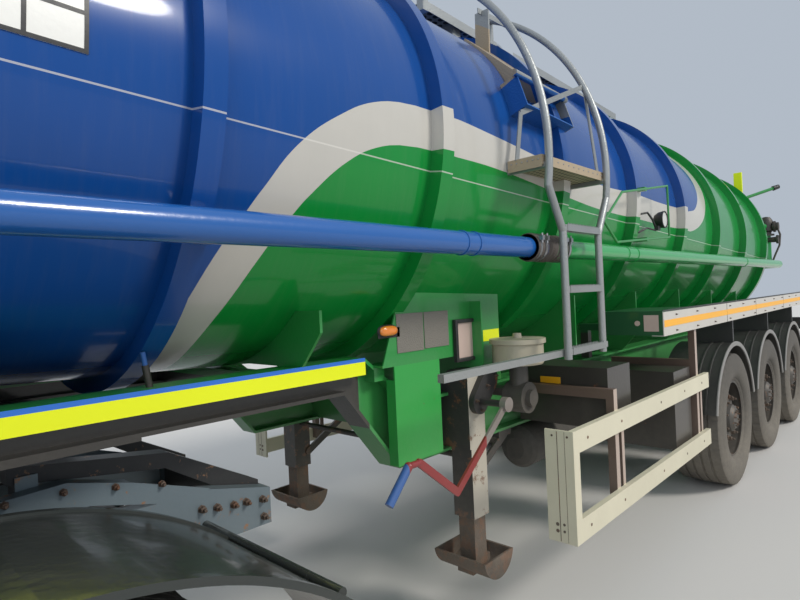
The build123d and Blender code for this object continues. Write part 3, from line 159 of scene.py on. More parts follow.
def makePiece(name, shapes, paint, body="trailer", smooth=40, bevel=0):
    vertices, faces = joined(shapes)
    mesh = bpy.data.meshes.new(name)
    mesh.from_pydata(vertices.tolist(), [], faces)
    mesh.validate()
    mesh.update()
    piece = newObject(name, mesh)
    mesh.materials.append(materials[paint])
    work = bmeshOf(mesh)
    work.to_mesh(mesh)
    work.free()
    if bevel:
        modifier = piece.modifiers.new("bevel", "BEVEL")
        modifier.width = bevel
        modifier.segments = 2
        modifier.limit_method = "ANGLE"
        modifier.angle_limit = math.radians(40)
    mesh.shade_smooth()
    mesh.set_sharp_from_angle(angle=math.radians(smooth))
    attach(piece, body)
    return piece


def bmeshOf(mesh):
    work = bmesh.new()
    work.from_mesh(mesh)
    bmesh.ops.recalc_face_normals(work, faces=work.faces)
    return work


# Materials

def newMaterial(name):
    material = bpy.data.materials.new(name)
    material.use_nodes = True
    tree = material.node_tree
    shader = tree.nodes["Principled BSDF"]
    return material, tree, shader


def addNode(tree, kind, inputs=None, **settings):
    node = tree.nodes.new(kind)
    for key, value in settings.items():
        setattr(node, key, value)
    for key, value in (inputs or {}).items():
        if isinstance(value, bpy.types.NodeSocket):
            tree.links.new(value, node.inputs[key])
        else:
            node.inputs[key].default_value = value
    return node


def mathNode(tree, operation, *values):
    inputs = {i: value for i, value in enumerate(values)}
    return addNode(tree, "ShaderNodeMath", inputs, operation=operation).outputs[0]


def times(tree, first, second):
    return mathNode(tree, "MULTIPLY", first, second)


def plus(tree, first, second):
    return mathNode(tree, "ADD", first, second)


def minus(tree, first, second):
    return mathNode(tree, "SUBTRACT", first, second)


def above(tree, value, limit):
    return mathNode(tree, "GREATER_THAN", value, limit)


def below(tree, value, limit):
    return mathNode(tree, "LESS_THAN", value, limit)


def objectPlace(tree):
    return addNode(tree, "ShaderNodeTexCoord").outputs["Object"]


def splitXyz(tree, place):
    return addNode(tree, "ShaderNodeSeparateXYZ", {0: place}).outputs


def clamped(tree, value):
    return addNode(tree, "ShaderNodeClamp", {"Value": value}).outputs[0]


def setInputs(node, values):
    for key, value in values.items():
        node.inputs[key].default_value = value


def mixColour(tree, factor, first, second):
    node = addNode(tree, "ShaderNodeMix", data_type="RGBA")
    for socket, value in ((node.inputs[0], factor), (node.inputs[6], first), (node.inputs[7], second)):
        if isinstance(value, bpy.types.NodeSocket):
            tree.links.new(value, socket)
        else:
            socket.default_value = value
    return node.outputs[2]


def noiseNode(tree, vector, scale, detail=3.0, roughness=0.55):
    return addNode(tree, "ShaderNodeTexNoise", {"Vector": vector, "Scale": scale, "Detail": detail,
                                                "Roughness": roughness}).outputs[0]


def newGroup(name, inputs, outputs):
    group = bpy.data.node_groups.new(name, "ShaderNodeTree")
    for label, kind, value in inputs:
        socket = group.interface.new_socket(label, in_out="INPUT", socket_type=kind)
        if value is not None:
            socket.default_value = value
    for label, kind in outputs:
        group.interface.new_socket(label, in_out="OUTPUT", socket_type=kind)
    return group, group.nodes.new("NodeGroupInput"), group.nodes.new("NodeGroupOutput")


def buildGrimeGroup():
    # mask of road dirt: noise, stronger low on the vehicle: (top - z) / span
    group, entry, leave = newGroup(
        "roadGrime", [("Top", "NodeSocketFloat", 1.2), ("Span", "NodeSocketFloat", 1.2),
                      ("Amount", "NodeSocketFloat", 0.6)], [("Mask", "NodeSocketFloat")])
    place = objectPlace(group)
    height = splitXyz(group, place)["Z"]
    low = mathNode(group, "DIVIDE", minus(group, entry.outputs["Top"], height), entry.outputs["Span"])
    low = addNode(group, "ShaderNodeClamp", {"Value": low, "Min": 0.12, "Max": 1.0}).outputs[0]
    broad = noiseNode(group, place, 2.3, 6.0, 0.7)
    fine = noiseNode(group, place, 31.0, 4.0, 0.6)
    both = times(group, plus(group, broad, times(group, fine, 0.6)), low)
    both = times(group, both, entry.outputs["Amount"])
    mask = clamped(group, both)
    group.links.new(mask, leave.inputs["Mask"])
    return group


def buildChipGroup():
    # mask of chipped or rusted spots: noise above a threshold
    group, entry, leave = newGroup(
        "chipSpots", [("Scale", "NodeSocketFloat", 14.0), ("Cut", "NodeSocketFloat", 0.62)],
        [("Mask", "NodeSocketFloat")])
    place = objectPlace(group)
    spots = addNode(group, "ShaderNodeTexNoise", {"Vector": place, "Scale": entry.outputs["Scale"],
                                                  "Detail": 8.0, "Roughness": 0.72}).outputs[0]
    over = times(group, minus(group, spots, entry.outputs["Cut"]), 18.0)
    mask = clamped(group, over)
    group.links.new(mask, leave.inputs["Mask"])
    return group


def buildOrangePeelGroup():
    # slight waviness of sprayed paint
    group, entry, leave = newGroup(
        "paintWaves", [("Scale", "NodeSocketFloat", 60.0), ("Strength", "NodeSocketFloat", 0.05)],
        [("Normal", "NodeSocketVector")])
    place = objectPlace(group)
    waves = addNode(group, "ShaderNodeTexNoise", {"Vector": place, "Scale": entry.outputs["Scale"],
                                                  "Detail": 2.0}).outputs[0]
    bump = addNode(group, "ShaderNodeBump", {"Strength": entry.outputs["Strength"], "Distance": 0.01,
                                             "Height": waves})
    group.links.new(bump.outputs["Normal"], leave.inputs["Normal"])
    return group


grimeGroup = buildGrimeGroup()
chipGroup = buildChipGroup()
waveGroup = buildOrangePeelGroup()


def useGroup(tree, group, inputs):
    node = tree.nodes.new("ShaderNodeGroup")
    node.node_tree = group
    setInputs(node, inputs)
    return node.outputs[0]


dustColour = (0.33, 0.29, 0.23, 1)
rustColour = (0.16, 0.065, 0.03, 1)


def surface(name, colour, roughness=0.4, metallic=0.0, grime=0.4, grimeTop=1.3, chips=None,
            chipColour=rustColour, chipScale=14.0, waves=0.05, waveScale=60.0, coat=0.0, variety=0.12, paint=None):
    # base colour, broken up by a broad noise, then other paints by place, then chips, then dirt
    material, tree, shader = newMaterial(name)
    place = objectPlace(tree)
    patch = noiseNode(tree, place, 3.7, 4.0)
    base = tuple(colour) + (1.0,)
    darker = tuple(c * (1 - variety) for c in colour) + (1.0,)
    mixed = mixColour(tree, patch, base, darker)
    if paint:
        mixed = paint(tree, place, mixed)
    if chips:
        mixed = mixColour(tree, useGroup(tree, chipGroup, {"Scale": chipScale, "Cut": chips}), mixed, chipColour)
    mask = useGroup(tree, grimeGroup, {"Top": grimeTop, "Span": 1.3, "Amount": grime})
    mixed = mixColour(tree, mask, mixed, dustColour)
    tree.links.new(mixed, shader.inputs["Base Color"])
    rough = plus(tree, roughness, times(tree, mask, 0.5))
    tree.links.new(clamped(tree, rough), shader.inputs["Roughness"])
    tree.links.new(useGroup(tree, waveGroup, {"Scale": waveScale, "Strength": waves}), shader.inputs["Normal"])
    setInputs(shader, {"Metallic": metallic})
    if coat:
        setInputs(shader, {"Coat Weight": coat, "Coat Roughness": 0.08})
    return material


def curveNode(tree, value, points, lowIn, highIn, lowOut, highOut):
    # smooth curve through the points, given in real units and mapped to 0..1 both ways
    scaled = mathNode(tree, "DIVIDE", minus(tree, value, lowIn), highIn - lowIn)
    node = addNode(tree, "ShaderNodeFloatCurve", {"Value": scaled})
    curve = node.mapping.curves[0]
    pairs = sorted(((x - lowIn) / (highIn - lowIn), (y - lowOut) / (highOut - lowOut)) for x, y in points)
    curve.points[0].location = pairs[0]
    curve.points[1].location = pairs[-1]
    for x, y in pairs[1:-1]:
        curve.points.new(x, y)
    node.mapping.use_clip = False
    node.mapping.update()
    return plus(tree, times(tree, node.outputs[0], highOut - lowOut), lowOut)


# Livery of the tank, as places along it and angles above the horizontal through its axis
livery = {
    "frontBlue": [(-90, 4.19), (-71, 4.188), (-54.6, 4.19), (-44.8, 4.175), (-33.1, 4.132), (-25.3, 4.075),
                  (-20.8, 4.036), (-10.7, 3.922), (-3.1, 3.765), (2.2, 3.598), (4.6, 3.43), (5.4, 3.2),
                  (8, 2.6), (90, 2.6)],
    "lowBlue": [(-1, 3.8), (0.06, 4.1), (0.66, 3.1), (1.15, 3.0), (1.71, 1.6), (2.3, 3.0), (2.87, 5.0), (3.12, 5.6),
                (3.3, 5.3), (5, 5.3)],
    "endBlue": [(-90, 0.3), (0, 0.1), (3.8, 0.0), (5.9, -0.173), (9.8, -0.29), (14.9, -0.38), (20.5, -0.435),
                (28, -0.455), (35, -0.41), (42, -0.28), (50, -0.05), (65, 0.3), (90, 0.6)],
    "frontWhite": [(-90, 4.055), (-75.7, 4.054), (-56.2, 4.058), (-44.7, 4.029), (-32.6, 3.971), (-25, 3.908),
                   (-20.2, 3.853), (-11.6, 3.707), (-7.8, 3.595), (-5.6, 3.467), (-4.5, 3.25), (-2, 2.6),
                   (90, 2.6)],
    "lowWhite": [(-1, -6.0), (0.09, -5.8), (0.56, -6.6), (1.06, -6.9), (1.7, -7.4), (2.3, -5.8), (2.87, -4.2),
                 (3.13, -4.4), (3.3, -4.6), (5, -4.6)],
    "endWhite": [(-90, 0.2), (-8, 0.1), (-5.8, -0.05), (-4.4, -0.162), (-0.7, -0.33), (4.2, -0.456), (11.2, -0.56),
                 (19, -0.63), (27, -0.645), (36, -0.62), (43, -0.54), (50, -0.36), (65, 0.0), (90, 0.3)],
    # seam: pale line painted as the highlight along the weld bead
    "seam": {"angle": -9.7, "half": 0.16, "reach": 0.96, "share": 0.55, "colour": (0.75, 0.72, 0.66, 1)},
    "shade": (0.03, 0.05, 0.06, 1), "streaks": (7.0, 0.6, 0.6),
    "blue": (0.002, 0.066, 0.30, 1), "white": (0.62, 0.59, 0.53, 1), "green": (0.003, 0.27, 0.035, 1),
}
angleRange, alongRange = (-90, 90), (-1, 5)


def liveryMaterial():
    material, tree, shader = newMaterial("tankPaint")
    place = objectPlace(tree)
    x, y, z = splitXyz(tree, place)
    cosS, sinS = math.cos(tank["slope"]), math.sin(tank["slope"])
    dx, dz = minus(tree, x, firstAxle), minus(tree, z, tank["axisHeight"])
    along = plus(tree, times(tree, dx, cosS), times(tree, dz, sinS))
    up = minus(tree, times(tree, dz, cosS), times(tree, dx, sinS))
    side = mathNode(tree, "ABSOLUTE", y)
    angle = times(tree, mathNode(tree, "ARCTAN2", up, side), 180 / math.pi)

    def region(front, low, end):
        byFront = above(tree, along, curveNode(tree, angle, livery[front], *angleRange, *alongRange))
        byLow = above(tree, angle, curveNode(tree, along, livery[low], *alongRange, *angleRange))
        byEnd = above(tree, along, curveNode(tree, angle, livery[end], *angleRange, *alongRange))
        return times(tree, mathNode(tree, "MAXIMUM", byFront, byLow), byEnd)

    white = region("frontWhite", "lowWhite", "endWhite")
    blue = region("frontBlue", "lowBlue", "endBlue")
    colour = mixColour(tree, white, livery["green"], livery["white"])
    colour = mixColour(tree, blue, colour, livery["blue"])
    patch = noiseNode(tree, place, 1.7, 5.0)
    colour = mixColour(tree, times(tree, patch, 0.25), colour, livery["shade"])
    # lengthways weld seam: a thin bright line at one angle on the barrel, painted as the highlight its raised bead
    # catches, which ends before the dished ends
    line = livery["seam"]
    offSeam = mathNode(tree, "ABSOLUTE", minus(tree, angle, line["angle"]))
    seam = times(tree, below(tree, offSeam, line["half"]), above(tree, side, line["reach"] * tank["radius"]))
    colour = mixColour(tree, times(tree, seam, line["share"]), colour, line["colour"])
    streak = addNode(tree, "ShaderNodeMapping", {"Vector": place, "Scale": livery["streaks"]}).outputs[0]
    dust = times(tree, minus(tree, noiseNode(tree, streak, 6.0, 6.0, 0.65), 0.48), 0.12)
    colour = mixColour(tree, clamped(tree, dust), colour, dustColour)
    tree.links.new(colour, shader.inputs["Base Color"])
    tree.links.new(plus(tree, 0.16, times(tree, patch, 0.14)), shader.inputs["Roughness"])
    tree.links.new(useGroup(tree, waveGroup, {"Scale": 1.6, "Strength": 0.35}), shader.inputs["Normal"])
    setInputs(shader, {"Specular IOR Level": 0.2, "Coat Weight": 0.4, "Coat Roughness": 0.06})
    return material


def between(tree, value, low, high):
    # 1 where the value lies between the limits
    return times(tree, above(tree, value, low), below(tree, value, high))


# Where a solid's paint changes: x counts from the trailer's first axle, angles and reach from the ladder's axis
paintPlaces = {
    "pipeFront": 2.57, "ladderAxis": 2.222, "ladderX": (2.165, 2.655), "ladderReach": 1.06, "wellAngles": (12.0, 23.6),
    # the boxes' front and the locker's low edge, given below, bound painted shade on the side cabinet
    "treadAngles": (23.6, 60.0), "postX": (2.38, 2.40), "postAngles": (46.0, 66.0), "boxesFront": 2.6,
    # the neck rails' rear end and heights, given below, bound the painted shadow under the neck tape
    "lockerShadeLow": 1.295, "neckShadowRear": 3.42, "neckShadowZ": (1.0, 1.2775), "postsFront": 2.70, "guardFace": 1.2219,
    "guardGapZ": (0.600, 0.882), "guardTop": 0.988, "crankPin": 3.0, "crankGrip": 3.512, "canisterBase": 1.241,
    "chassisInner": 0.365, "legFace": (0.7695, 0.7720), "deckHalf": 0.3245, "stepFrom": 0.6,
}
paintColours = {
    "pipeBlue": (0.008, 0.10, 0.36, 1), "well": (0.01, 0.12, 0.42, 1), "tread": (0.44, 0.35, 0.24, 1),
    # boxes: near black, partly painted shade on their side faces; locker: dark green painted as the shade behind the
    # board
    "post": (0.02, 0.02, 0.022, 1), "boxes": (0.03, 0.026, 0.024, 1), "locker": (0.010, 0.085, 0.030, 1),
    # neck: black painted as the shadow under the neck tape
    "neck": (0.012, 0.011, 0.010, 1), "guardRust": (0.13, 0.085, 0.065, 1), "guardPale": (0.46, 0.36, 0.30, 1),
    "crankSteel": (0.22, 0.19, 0.17, 1), "grip": (0.015, 0.09, 0.30, 1), "canisterBlack": (0.025, 0.024, 0.024, 1),
    "chassisBlack": (0.014, 0.017, 0.022, 1), "legPale": (0.50, 0.46, 0.38, 1),
}


def paintX(key):
    return onTrailer(paintPlaces[key])


def pipePaint(tree, place, colour):
    x = splitXyz(tree, place)[0]
    return mixColour(tree, above(tree, x, paintX("pipeFront")), colour, paintColours["pipeBlue"])


def ladderPaint(tree, place, colour):
    # blue step well, tan tread plate and black post, told apart by angle and distance from the tank's axis
    x, y, z = splitXyz(tree, place)
    height = minus(tree, z, paintPlaces["ladderAxis"])
    angle = times(tree, mathNode(tree, "ARCTAN2", height, y), 180 / math.pi)
    distance = mathNode(tree, "SQRT", plus(tree, times(tree, y, y), times(tree, height, height)))
    rear, front = (onTrailer(x0) for x0 in paintPlaces["ladderX"])
    room = times(tree, between(tree, x, rear, front), below(tree, distance, paintPlaces["ladderReach"]))
    well = times(tree, room, between(tree, angle, *paintPlaces["wellAngles"]))
    tread = times(tree, room, between(tree, angle, *paintPlaces["treadAngles"]))
    rear, front = (onTrailer(x0) for x0 in paintPlaces["postX"])
    post = times(tree, between(tree, x, rear, front), between(tree, angle, *paintPlaces["postAngles"]))
    for mask, key in ((well, "well"), (tread, "tread"), (post, "post")):
        colour = mixColour(tree, mask, colour, paintColours[key])
    return colour


def cabinetPaintAndShade(tree, place, colour):
    # hanging panel stays green; the boxes are painted near black, partly as painted shade on their side faces; the
    # locker behind the board is a darker copy of the green, painted as the shade behind the board
    x, y, z = splitXyz(tree, place)
    rearward = below(tree, x, paintX("boxesFront"))
    colour = mixColour(tree, rearward, colour, paintColours["boxes"])
    locker = times(tree, rearward, above(tree, z, paintPlaces["lockerShadeLow"]))
    return mixColour(tree, locker, colour, paintColours["locker"])


def neckShadowPaint(tree, place, colour):
    # painted shadow: the neck rails below their tape are painted black to stand in for the shade under the tape
    x, y, z = splitXyz(tree, place)
    neck = times(tree, above(tree, x, paintX("neckShadowRear")), between(tree, z, *paintPlaces["neckShadowZ"]))
    return mixColour(tree, neck, colour, paintColours["neck"])


def guardPaint(tree, place, colour):
    # rusty posts behind the cream rails, paler on their outer faces
    x, y, z = splitXyz(tree, place)
    side = mathNode(tree, "ABSOLUTE", y)
    posts = below(tree, x, paintX("postsFront"))
    behind = times(tree, posts, below(tree, side, paintPlaces["guardFace"]))
    colour = mixColour(tree, behind, colour, paintColours["guardRust"])
    gap = plus(tree, between(tree, z, *paintPlaces["guardGapZ"]), above(tree, z, paintPlaces["guardTop"]))
    face = times(tree, posts, times(tree, gap, above(tree, side, paintPlaces["guardFace"])))
    return mixColour(tree, face, colour, paintColours["guardPale"])


def crankPaint(tree, place, colour):
    # bare steel at the pin, blue sleeve on the grip
    x = splitXyz(tree, place)[0]
    colour = mixColour(tree, below(tree, x, paintX("crankPin")), colour, paintColours["crankSteel"])
    return mixColour(tree, above(tree, x, paintX("crankGrip")), colour, paintColours["grip"])


def canisterPaint(tree, place, colour):
    z = splitXyz(tree, place)[2]
    return mixColour(tree, below(tree, z, paintPlaces["canisterBase"]), colour, paintColours["canisterBlack"])


def chassisPaint(tree, place, colour):
    # grey-blue sheets outside, black ramps and cross members inside
    inner = below(tree, mathNode(tree, "ABSOLUTE", splitXyz(tree, place)[1]), paintPlaces["chassisInner"])
    return mixColour(tree, inner, colour, paintColours["chassisBlack"])


def legPaint(tree, place, colour):
    # worn pale paint on the outer faces of the legs, black elsewhere
    outer = between(tree, mathNode(tree, "ABSOLUTE", splitXyz(tree, place)[1]), *paintPlaces["legFace"])
    return mixColour(tree, outer, colour, paintColours["legPale"])


def buildHoleGroup():
    # mask of punched holes: distance from the middle of each square of a grid, in x and y
    group, entry, leave = newGroup("punchedHoles", [("Pitch", "NodeSocketFloat", 0.03),
                                                    ("Radius", "NodeSocketFloat", 0.3)], [("Mask", "NodeSocketFloat")])
    place = objectPlace(group)
    x, y, z = splitXyz(group, place)
    squares = []
    for value in (x, y):
        part = mathNode(group, "FRACT", mathNode(group, "DIVIDE", value, entry.outputs["Pitch"]))
        part = minus(group, part, 0.5)
        squares.append(times(group, part, part))
    distance = mathNode(group, "SQRT", plus(group, *squares))
    group.links.new(below(group, distance, entry.outputs["Radius"]), leave.inputs["Mask"])
    return group


holeGroup = buildHoleGroup()


def punchedPaint(pitch, radius, dark):
    def paint(tree, place, colour):
        holes = useGroup(tree, holeGroup, {"Pitch": pitch, "Radius": radius})
        # holes only on the deck and on the step
        y = splitXyz(tree, place)[1]
        deck = below(tree, mathNode(tree, "ABSOLUTE", y), paintPlaces["deckHalf"])
        flat = mathNode(tree, "MAXIMUM", deck, above(tree, y, paintPlaces["stepFrom"]))
        return mixColour(tree, times(tree, holes, flat), colour, dark)
    return paint


greenPaint, bluePaint = (0.012, 0.26, 0.045), (0.008, 0.11, 0.42)
zincGrey, softBlack, tanBoard = (0.40, 0.42, 0.42), (0.022, 0.022, 0.024), (0.46, 0.36, 0.24)
zincLook = {"grime": 0.25, "grimeTop": 2.4, "waves": 0.2, "waveScale": 120.0, "variety": 0.3}
tanLook = {"grime": 0.35, "grimeTop": 3.0, "chips": 0.62}
materials = {
    "tank": liveryMaterial(),
    # green paint, with a painted shadow in black on the neck rails below their tape
    "green": surface("greenPaint", greenPaint, 0.32, grime=0.45, grimeTop=1.5, chips=0.68, waves=0.08, coat=0.3,
                     paint=neckShadowPaint),
    "pipe": surface("pipePaint", (0.02, 0.36, 0.08), 0.25, grime=0.15, coat=0.5, paint=pipePaint),
    # cabinet paint: green, with painted shade on the boxes and on the locker behind the board
    "cabinet": surface("cabinetPaintAndShade", (0.015, 0.34, 0.05), 0.35, grime=0.3, grimeTop=1.4, chips=0.66, coat=0.2,
                       paint=cabinetPaintAndShade),
    "leg": surface("legPaint", softBlack, 0.45, 0.1, grime=0.5, grimeTop=1.3, chips=0.56,
                   chipScale=9.0, paint=legPaint),
    "ladder": surface("ladderSteel", zincGrey, 0.42, 0.6, paint=ladderPaint, **zincLook),
    "walkway": surface("walkwayMesh", zincGrey, 0.45, 0.6, paint=punchedPaint(0.05, 0.36, (0.03, 0.03, 0.03, 1)),
                       **zincLook),
    "blue": surface("cabPaint", bluePaint, 0.25, grime=0.18, grimeTop=1.4, coat=0.7),
    "chassisGrey": surface("chassisPaint", (0.15, 0.20, 0.23), 0.38, 0.3, grime=0.4, grimeTop=1.2, chips=0.60,
                           chipColour=(0.30, 0.15, 0.07, 1), paint=chassisPaint),
    "white": surface("boardPaint", (0.64, 0.61, 0.56), 0.45, grime=0.45, grimeTop=2.0, chips=0.70),
    "cream": surface("guardPaint", (0.72, 0.67, 0.50), 0.42, grime=0.28, grimeTop=1.3, chips=0.68, variety=0.2,
                     paint=guardPaint),
    "galvanised": surface("galvanisedSteel", zincGrey, 0.42, 0.75, **zincLook),
    "rustySteel": surface("rustySteel", (0.09, 0.06, 0.045), 0.72, 0.2, grime=0.55, grimeTop=1.3, chips=0.50,
                          waves=0.3, waveScale=90.0),
    "blackMetal": surface("blackMetal", softBlack, 0.45, 0.1, grime=0.5, grimeTop=1.3, chips=0.62),
    "cast": surface("greasyCast", (0.06, 0.055, 0.05), 0.5, 0.5, grime=0.4, grimeTop=1.3, chips=0.60, waves=0.3),
    "blackPlastic": surface("blackPlastic", (0.015, 0.016, 0.018), 0.42, grime=0.26, grimeTop=1.5, waves=0.25,
                            waveScale=300.0),
    "greyPlastic": surface("greyPlastic", (0.024, 0.030, 0.028), 0.25, grime=0.16, grimeTop=1.2, waves=0.15,
                           waveScale=40.0, coat=0.3),
    "rubber": surface("bellowsRubber", (0.02, 0.02, 0.02), 0.7, grime=0.5, grimeTop=1.3, waves=0.3),
    "tyre": surface("tyreRubber", (0.035, 0.034, 0.034), 0.72, grime=0.55, grimeTop=1.5, waves=0.3, waveScale=200.0),
    "rim": surface("rimPaint", (0.05, 0.048, 0.048), 0.45, 0.5, grime=0.5, grimeTop=1.2, chips=0.57),
    "alloy": surface("brushedAlloy", (0.62, 0.63, 0.64), 0.32, 0.95, grime=0.25, grimeTop=1.2, waves=0.1),
    "canister": surface("canisterPlastic", (0.52, 0.47, 0.35), 0.4, grime=0.4, grimeTop=1.8, variety=0.3,
                        paint=canisterPaint),
    "steel": surface("valveSteel", (0.45, 0.45, 0.46), 0.3, 0.9, grime=0.35, grimeTop=1.8),
    "seat": surface("seatFabric", (0.05, 0.055, 0.07), 0.9, grime=0.1, waves=0.6, waveScale=400.0),
    "dash": surface("dashPlastic", (0.04, 0.042, 0.046), 0.55, grime=0.1, waves=0.3, waveScale=300.0),
    "yellowTape": surface("yellowTape", (0.85, 0.92, 0.0), 0.35, grime=0.1, grimeTop=1.6, variety=0.05),
    "blueEdge": surface("blueEdge", (0.02, 0.16, 0.62), 0.35, grime=0.15, grimeTop=1.6, chips=0.66,
                        chipColour=(0.6, 0.6, 0.6, 1)),
    "amberTape": surface("amberTape", (1.0, 0.46, 0.0), 0.35, grime=0.12, grimeTop=2.0, variety=0.05),
    "amberLens": surface("amberLens", (0.9, 0.26, 0.02), 0.15, grime=0.1, coat=1.0),
    "redLens": surface("redLens", (0.5, 0.015, 0.01), 0.15, grime=0.15, coat=1.0),
    "redPaint": surface("crankPaint", (0.24, 0.008, 0.012), 0.4, grime=0.25, chips=0.62, coat=0.3, paint=crankPaint),
    "blueGrip": surface("blueGrip", (0.02, 0.12, 0.40), 0.5, grime=0.3),
    "plate": surface("blankPlate", (0.19, 0.18, 0.16), 0.5, 0.3, grime=0.5, grimeTop=2.0, waves=0.3, waveScale=150.0),
    "paleLens": surface("paleLens", (0.75, 0.72, 0.66), 0.12, grime=0.1, coat=1.0),
    "hose": surface("hoseRubber", (0.07, 0.055, 0.05), 0.55, grime=0.3, grimeTop=2.4, waves=0.4, waveScale=150.0),
    "tan": surface("tanPlank", tanBoard, 0.6, 0.2, paint=punchedPaint(0.032, 0.27, (0.02, 0.016, 0.012, 1)), **tanLook),
    "tanEdge": surface("tanEdge", tanBoard, 0.6, 0.2, **tanLook),
    "dustyLip": surface("dustyLip", (0.24, 0.235, 0.23), 0.5, grime=0.4, grimeTop=1.6, waves=0.2, waveScale=200.0),
    "signWhite": surface("signWhite", (0.86, 0.85, 0.80), 0.35, grime=0.12, grimeTop=2.4, variety=0.05),
    "signBlack": surface("signBlack", (0.03, 0.03, 0.032), 0.4, grime=0.1, grimeTop=2.4),
    "palePlate": surface("palePlate", (0.62, 0.46, 0.40), 0.45, grime=0.35, grimeTop=2.0, chips=0.68),
    "rustyBolt": surface("rustyBolt", (0.12, 0.08, 0.06), 0.6, 0.5, grime=0.5, grimeTop=1.2, chips=0.55,
                         waves=0.4, waveScale=250.0),
    "chrome": surface("lampReflector", (0.85, 0.86, 0.87), 0.12, 1.0, grime=0.05),
    "mirror": surface("mirrorGlass", (0.75, 0.77, 0.8), 0.04, 1.0, grime=0.02),
}


def glassMaterial(name, colour, alpha):
    material, tree, shader = newMaterial(name)
    place = objectPlace(tree)
    haze = noiseNode(tree, place, 5.0, 4.0)
    tree.links.new(mixColour(tree, haze, colour + (1,), tuple(c * 0.85 for c in colour) + (1,)),
                   shader.inputs["Base Color"])
    setInputs(shader, {"Roughness": 0.04, "Alpha": alpha, "IOR": 1.5})
    return material


materials["window"] = glassMaterial("windowGlass", (0.10, 0.14, 0.14), 0.45)
materials["lens"] = glassMaterial("lampGlass", (0.8, 0.82, 0.85), 0.6)
print("materials made")

nodeMaterials = {
    "tank_shell": "tank", "manway_collars": "tank", "manway_lid": "alloy", "rear_door": "tank",
    "trailer_frame": "green", "trailer_axles": "blackMetal", "trailer_air_springs": "rubber",
    "trailer_mudguards": "blackPlastic", "side_boards": "white", "side_guards": "cream",
    "leg_housings": "leg", "leg_feet": "rustySteel", "leg_crank": "redPaint", "side_cabinet": "cabinet",
    "suction_pipe": "pipe", "access_ladder": "ladder", "top_walkway": "walkway",
    "trap_canister": "canister", "rear_bumper": "blackMetal", "rear_lamps": "redLens",
    "outlet_valve": "steel", "tractor_frame": "chassisGrey", "fifth_wheel": "cast", "cab_shell": "blue",
    "cab_front": "blackPlastic", "windscreen": "window", "front_bumper": "blue", "headlamps": "lens",
    "engine_block": "cast", "seats": "seat", "dashboard": "dash", "side_tanks": "alloy",
    "tractor_mudguards": "greyPlastic", "tractor_axles": "blackMetal",
}
for side in ("left", "right"):
    nodeMaterials.update({"door_" + side: "blue", "door_glass_" + side: "window", "knuckle_" + side: "cast",
                          "front_tyre_" + side: "tyre", "front_rim_" + side: "rim",
                          "drive_tyres_" + side: "tyre", "drive_rims_" + side: "rim"})
    for i in (1, 2, 3):
        nodeMaterials["trailer_tyre_%s_%d" % (side, i)] = "tyre"
        nodeMaterials["trailer_rim_%s_%d" % (side, i)] = "rim"
for name, key in nodeMaterials.items():
    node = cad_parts.get(name)
    if node is not None:
        node.data.materials.clear()
        node.data.materials.append(materials[key])
print("solids painted")

# Tapes and edge strips along the neck and the boards
neckTape = {"y": 0.6505, "low": 1.278, "high": 1.333, "top": 1.349, "front": 6.34, "rear": 3.43}
for name, low, high, key in (("neckTape", neckTape["low"], neckTape["high"], "yellowTape"),
                             ("neckEdge", neckTape["high"], neckTape["top"], "blueEdge")):
    strip = trailerBox((neckTape["rear"], neckTape["y"], low), (neckTape["front"], neckTape["y"] + 0.0015, high))
    makePiece(name, bothSides([strip]), key)
boardStripe = {"y": 1.2502, "low": 1.352, "high": 1.392, "front": 1.61, "rear": -3.30}
strip = trailerBox((boardStripe["rear"], boardStripe["y"], boardStripe["low"]),
                   (boardStripe["front"], boardStripe["y"] + 0.0012, boardStripe["high"]))
makePiece("boardStripe", bothSides([strip]), "amberTape")
print("tapes laid")

# More shapes

def barShape(start, end, width, depth, side=(0, 1, 0)):
    # rectangle set across the line from start to end, its depth towards the side
    start, end, side = (np.array(value, float) for value in (start, end, side))
    along = (end - start) / np.linalg.norm(end - start)
    across = np.cross(along, side)
    across /= np.linalg.norm(across)
    side = np.cross(across, along)
    corners = np.array([[-1, -1], [1, -1], [1, 1], [-1, 1]]) * [width / 2, depth / 2]
    ring = corners[:, :1] * across + corners[:, 1:] * side
    return cappedGrid(np.stack([start + ring, end + ring]))


def plateShape(outline, low, high, axis="Y"):
    # outline of pairs carried along the axis: (x, z) for Y, (y, z) for X, (x, y) for Z
    outline = np.array(outline, float)
    place = {"X": 0, "Y": 1, "Z": 2}[axis]
    return cappedGrid(np.stack([np.insert(outline, place, value, axis=1) for value in (low, high)]))


def arcShape(centre, radii, angles, limits, steps=48):
    # rectangle of radii and limits swept round Y, angles from the front upwards
    turn = np.radians(np.linspace(angles[0], angles[1], steps))
    corners = [(radii[0], limits[0]), (radii[1], limits[0]), (radii[1], limits[1]), (radii[0], limits[1])]
    rows = [np.stack([centre[0] + r * np.cos(turn), 0 * turn + y, centre[1] + r * np.sin(turn)], axis=-1)
            for r, y in corners]
    return cappedGrid(np.stack(rows, axis=1))


def tankSheet(along, angles, radii, steps=24):
    # sheet bent round the tank between two radii: rectangle (u, r) swept over the angle
    turn = np.radians(np.linspace(angles[0], angles[1], steps))
    corners = [(along[0], radii[0]), (along[1], radii[0]), (along[1], radii[1]), (along[0], radii[1])]
    return cappedGrid(np.stack([tankPoint(np.full_like(turn, u), turn, r) for u, r in corners], axis=1))


def arcTurn(x, y, z, low, high, start, end, half=0.03):
    # strap corner: rectangle of radii swept round X from one angle to another, from the side upwards
    turn = np.radians(np.linspace(start, end, 9))
    corners = [(x - half, low), (x + half, low), (x + half, high), (x - half, high)]
    points = np.stack([np.stack([0 * turn + place, y + r * np.cos(turn), z + r * np.sin(turn)], axis=-1)
                       for place, r in corners], axis=1)
    return cappedGrid(points)


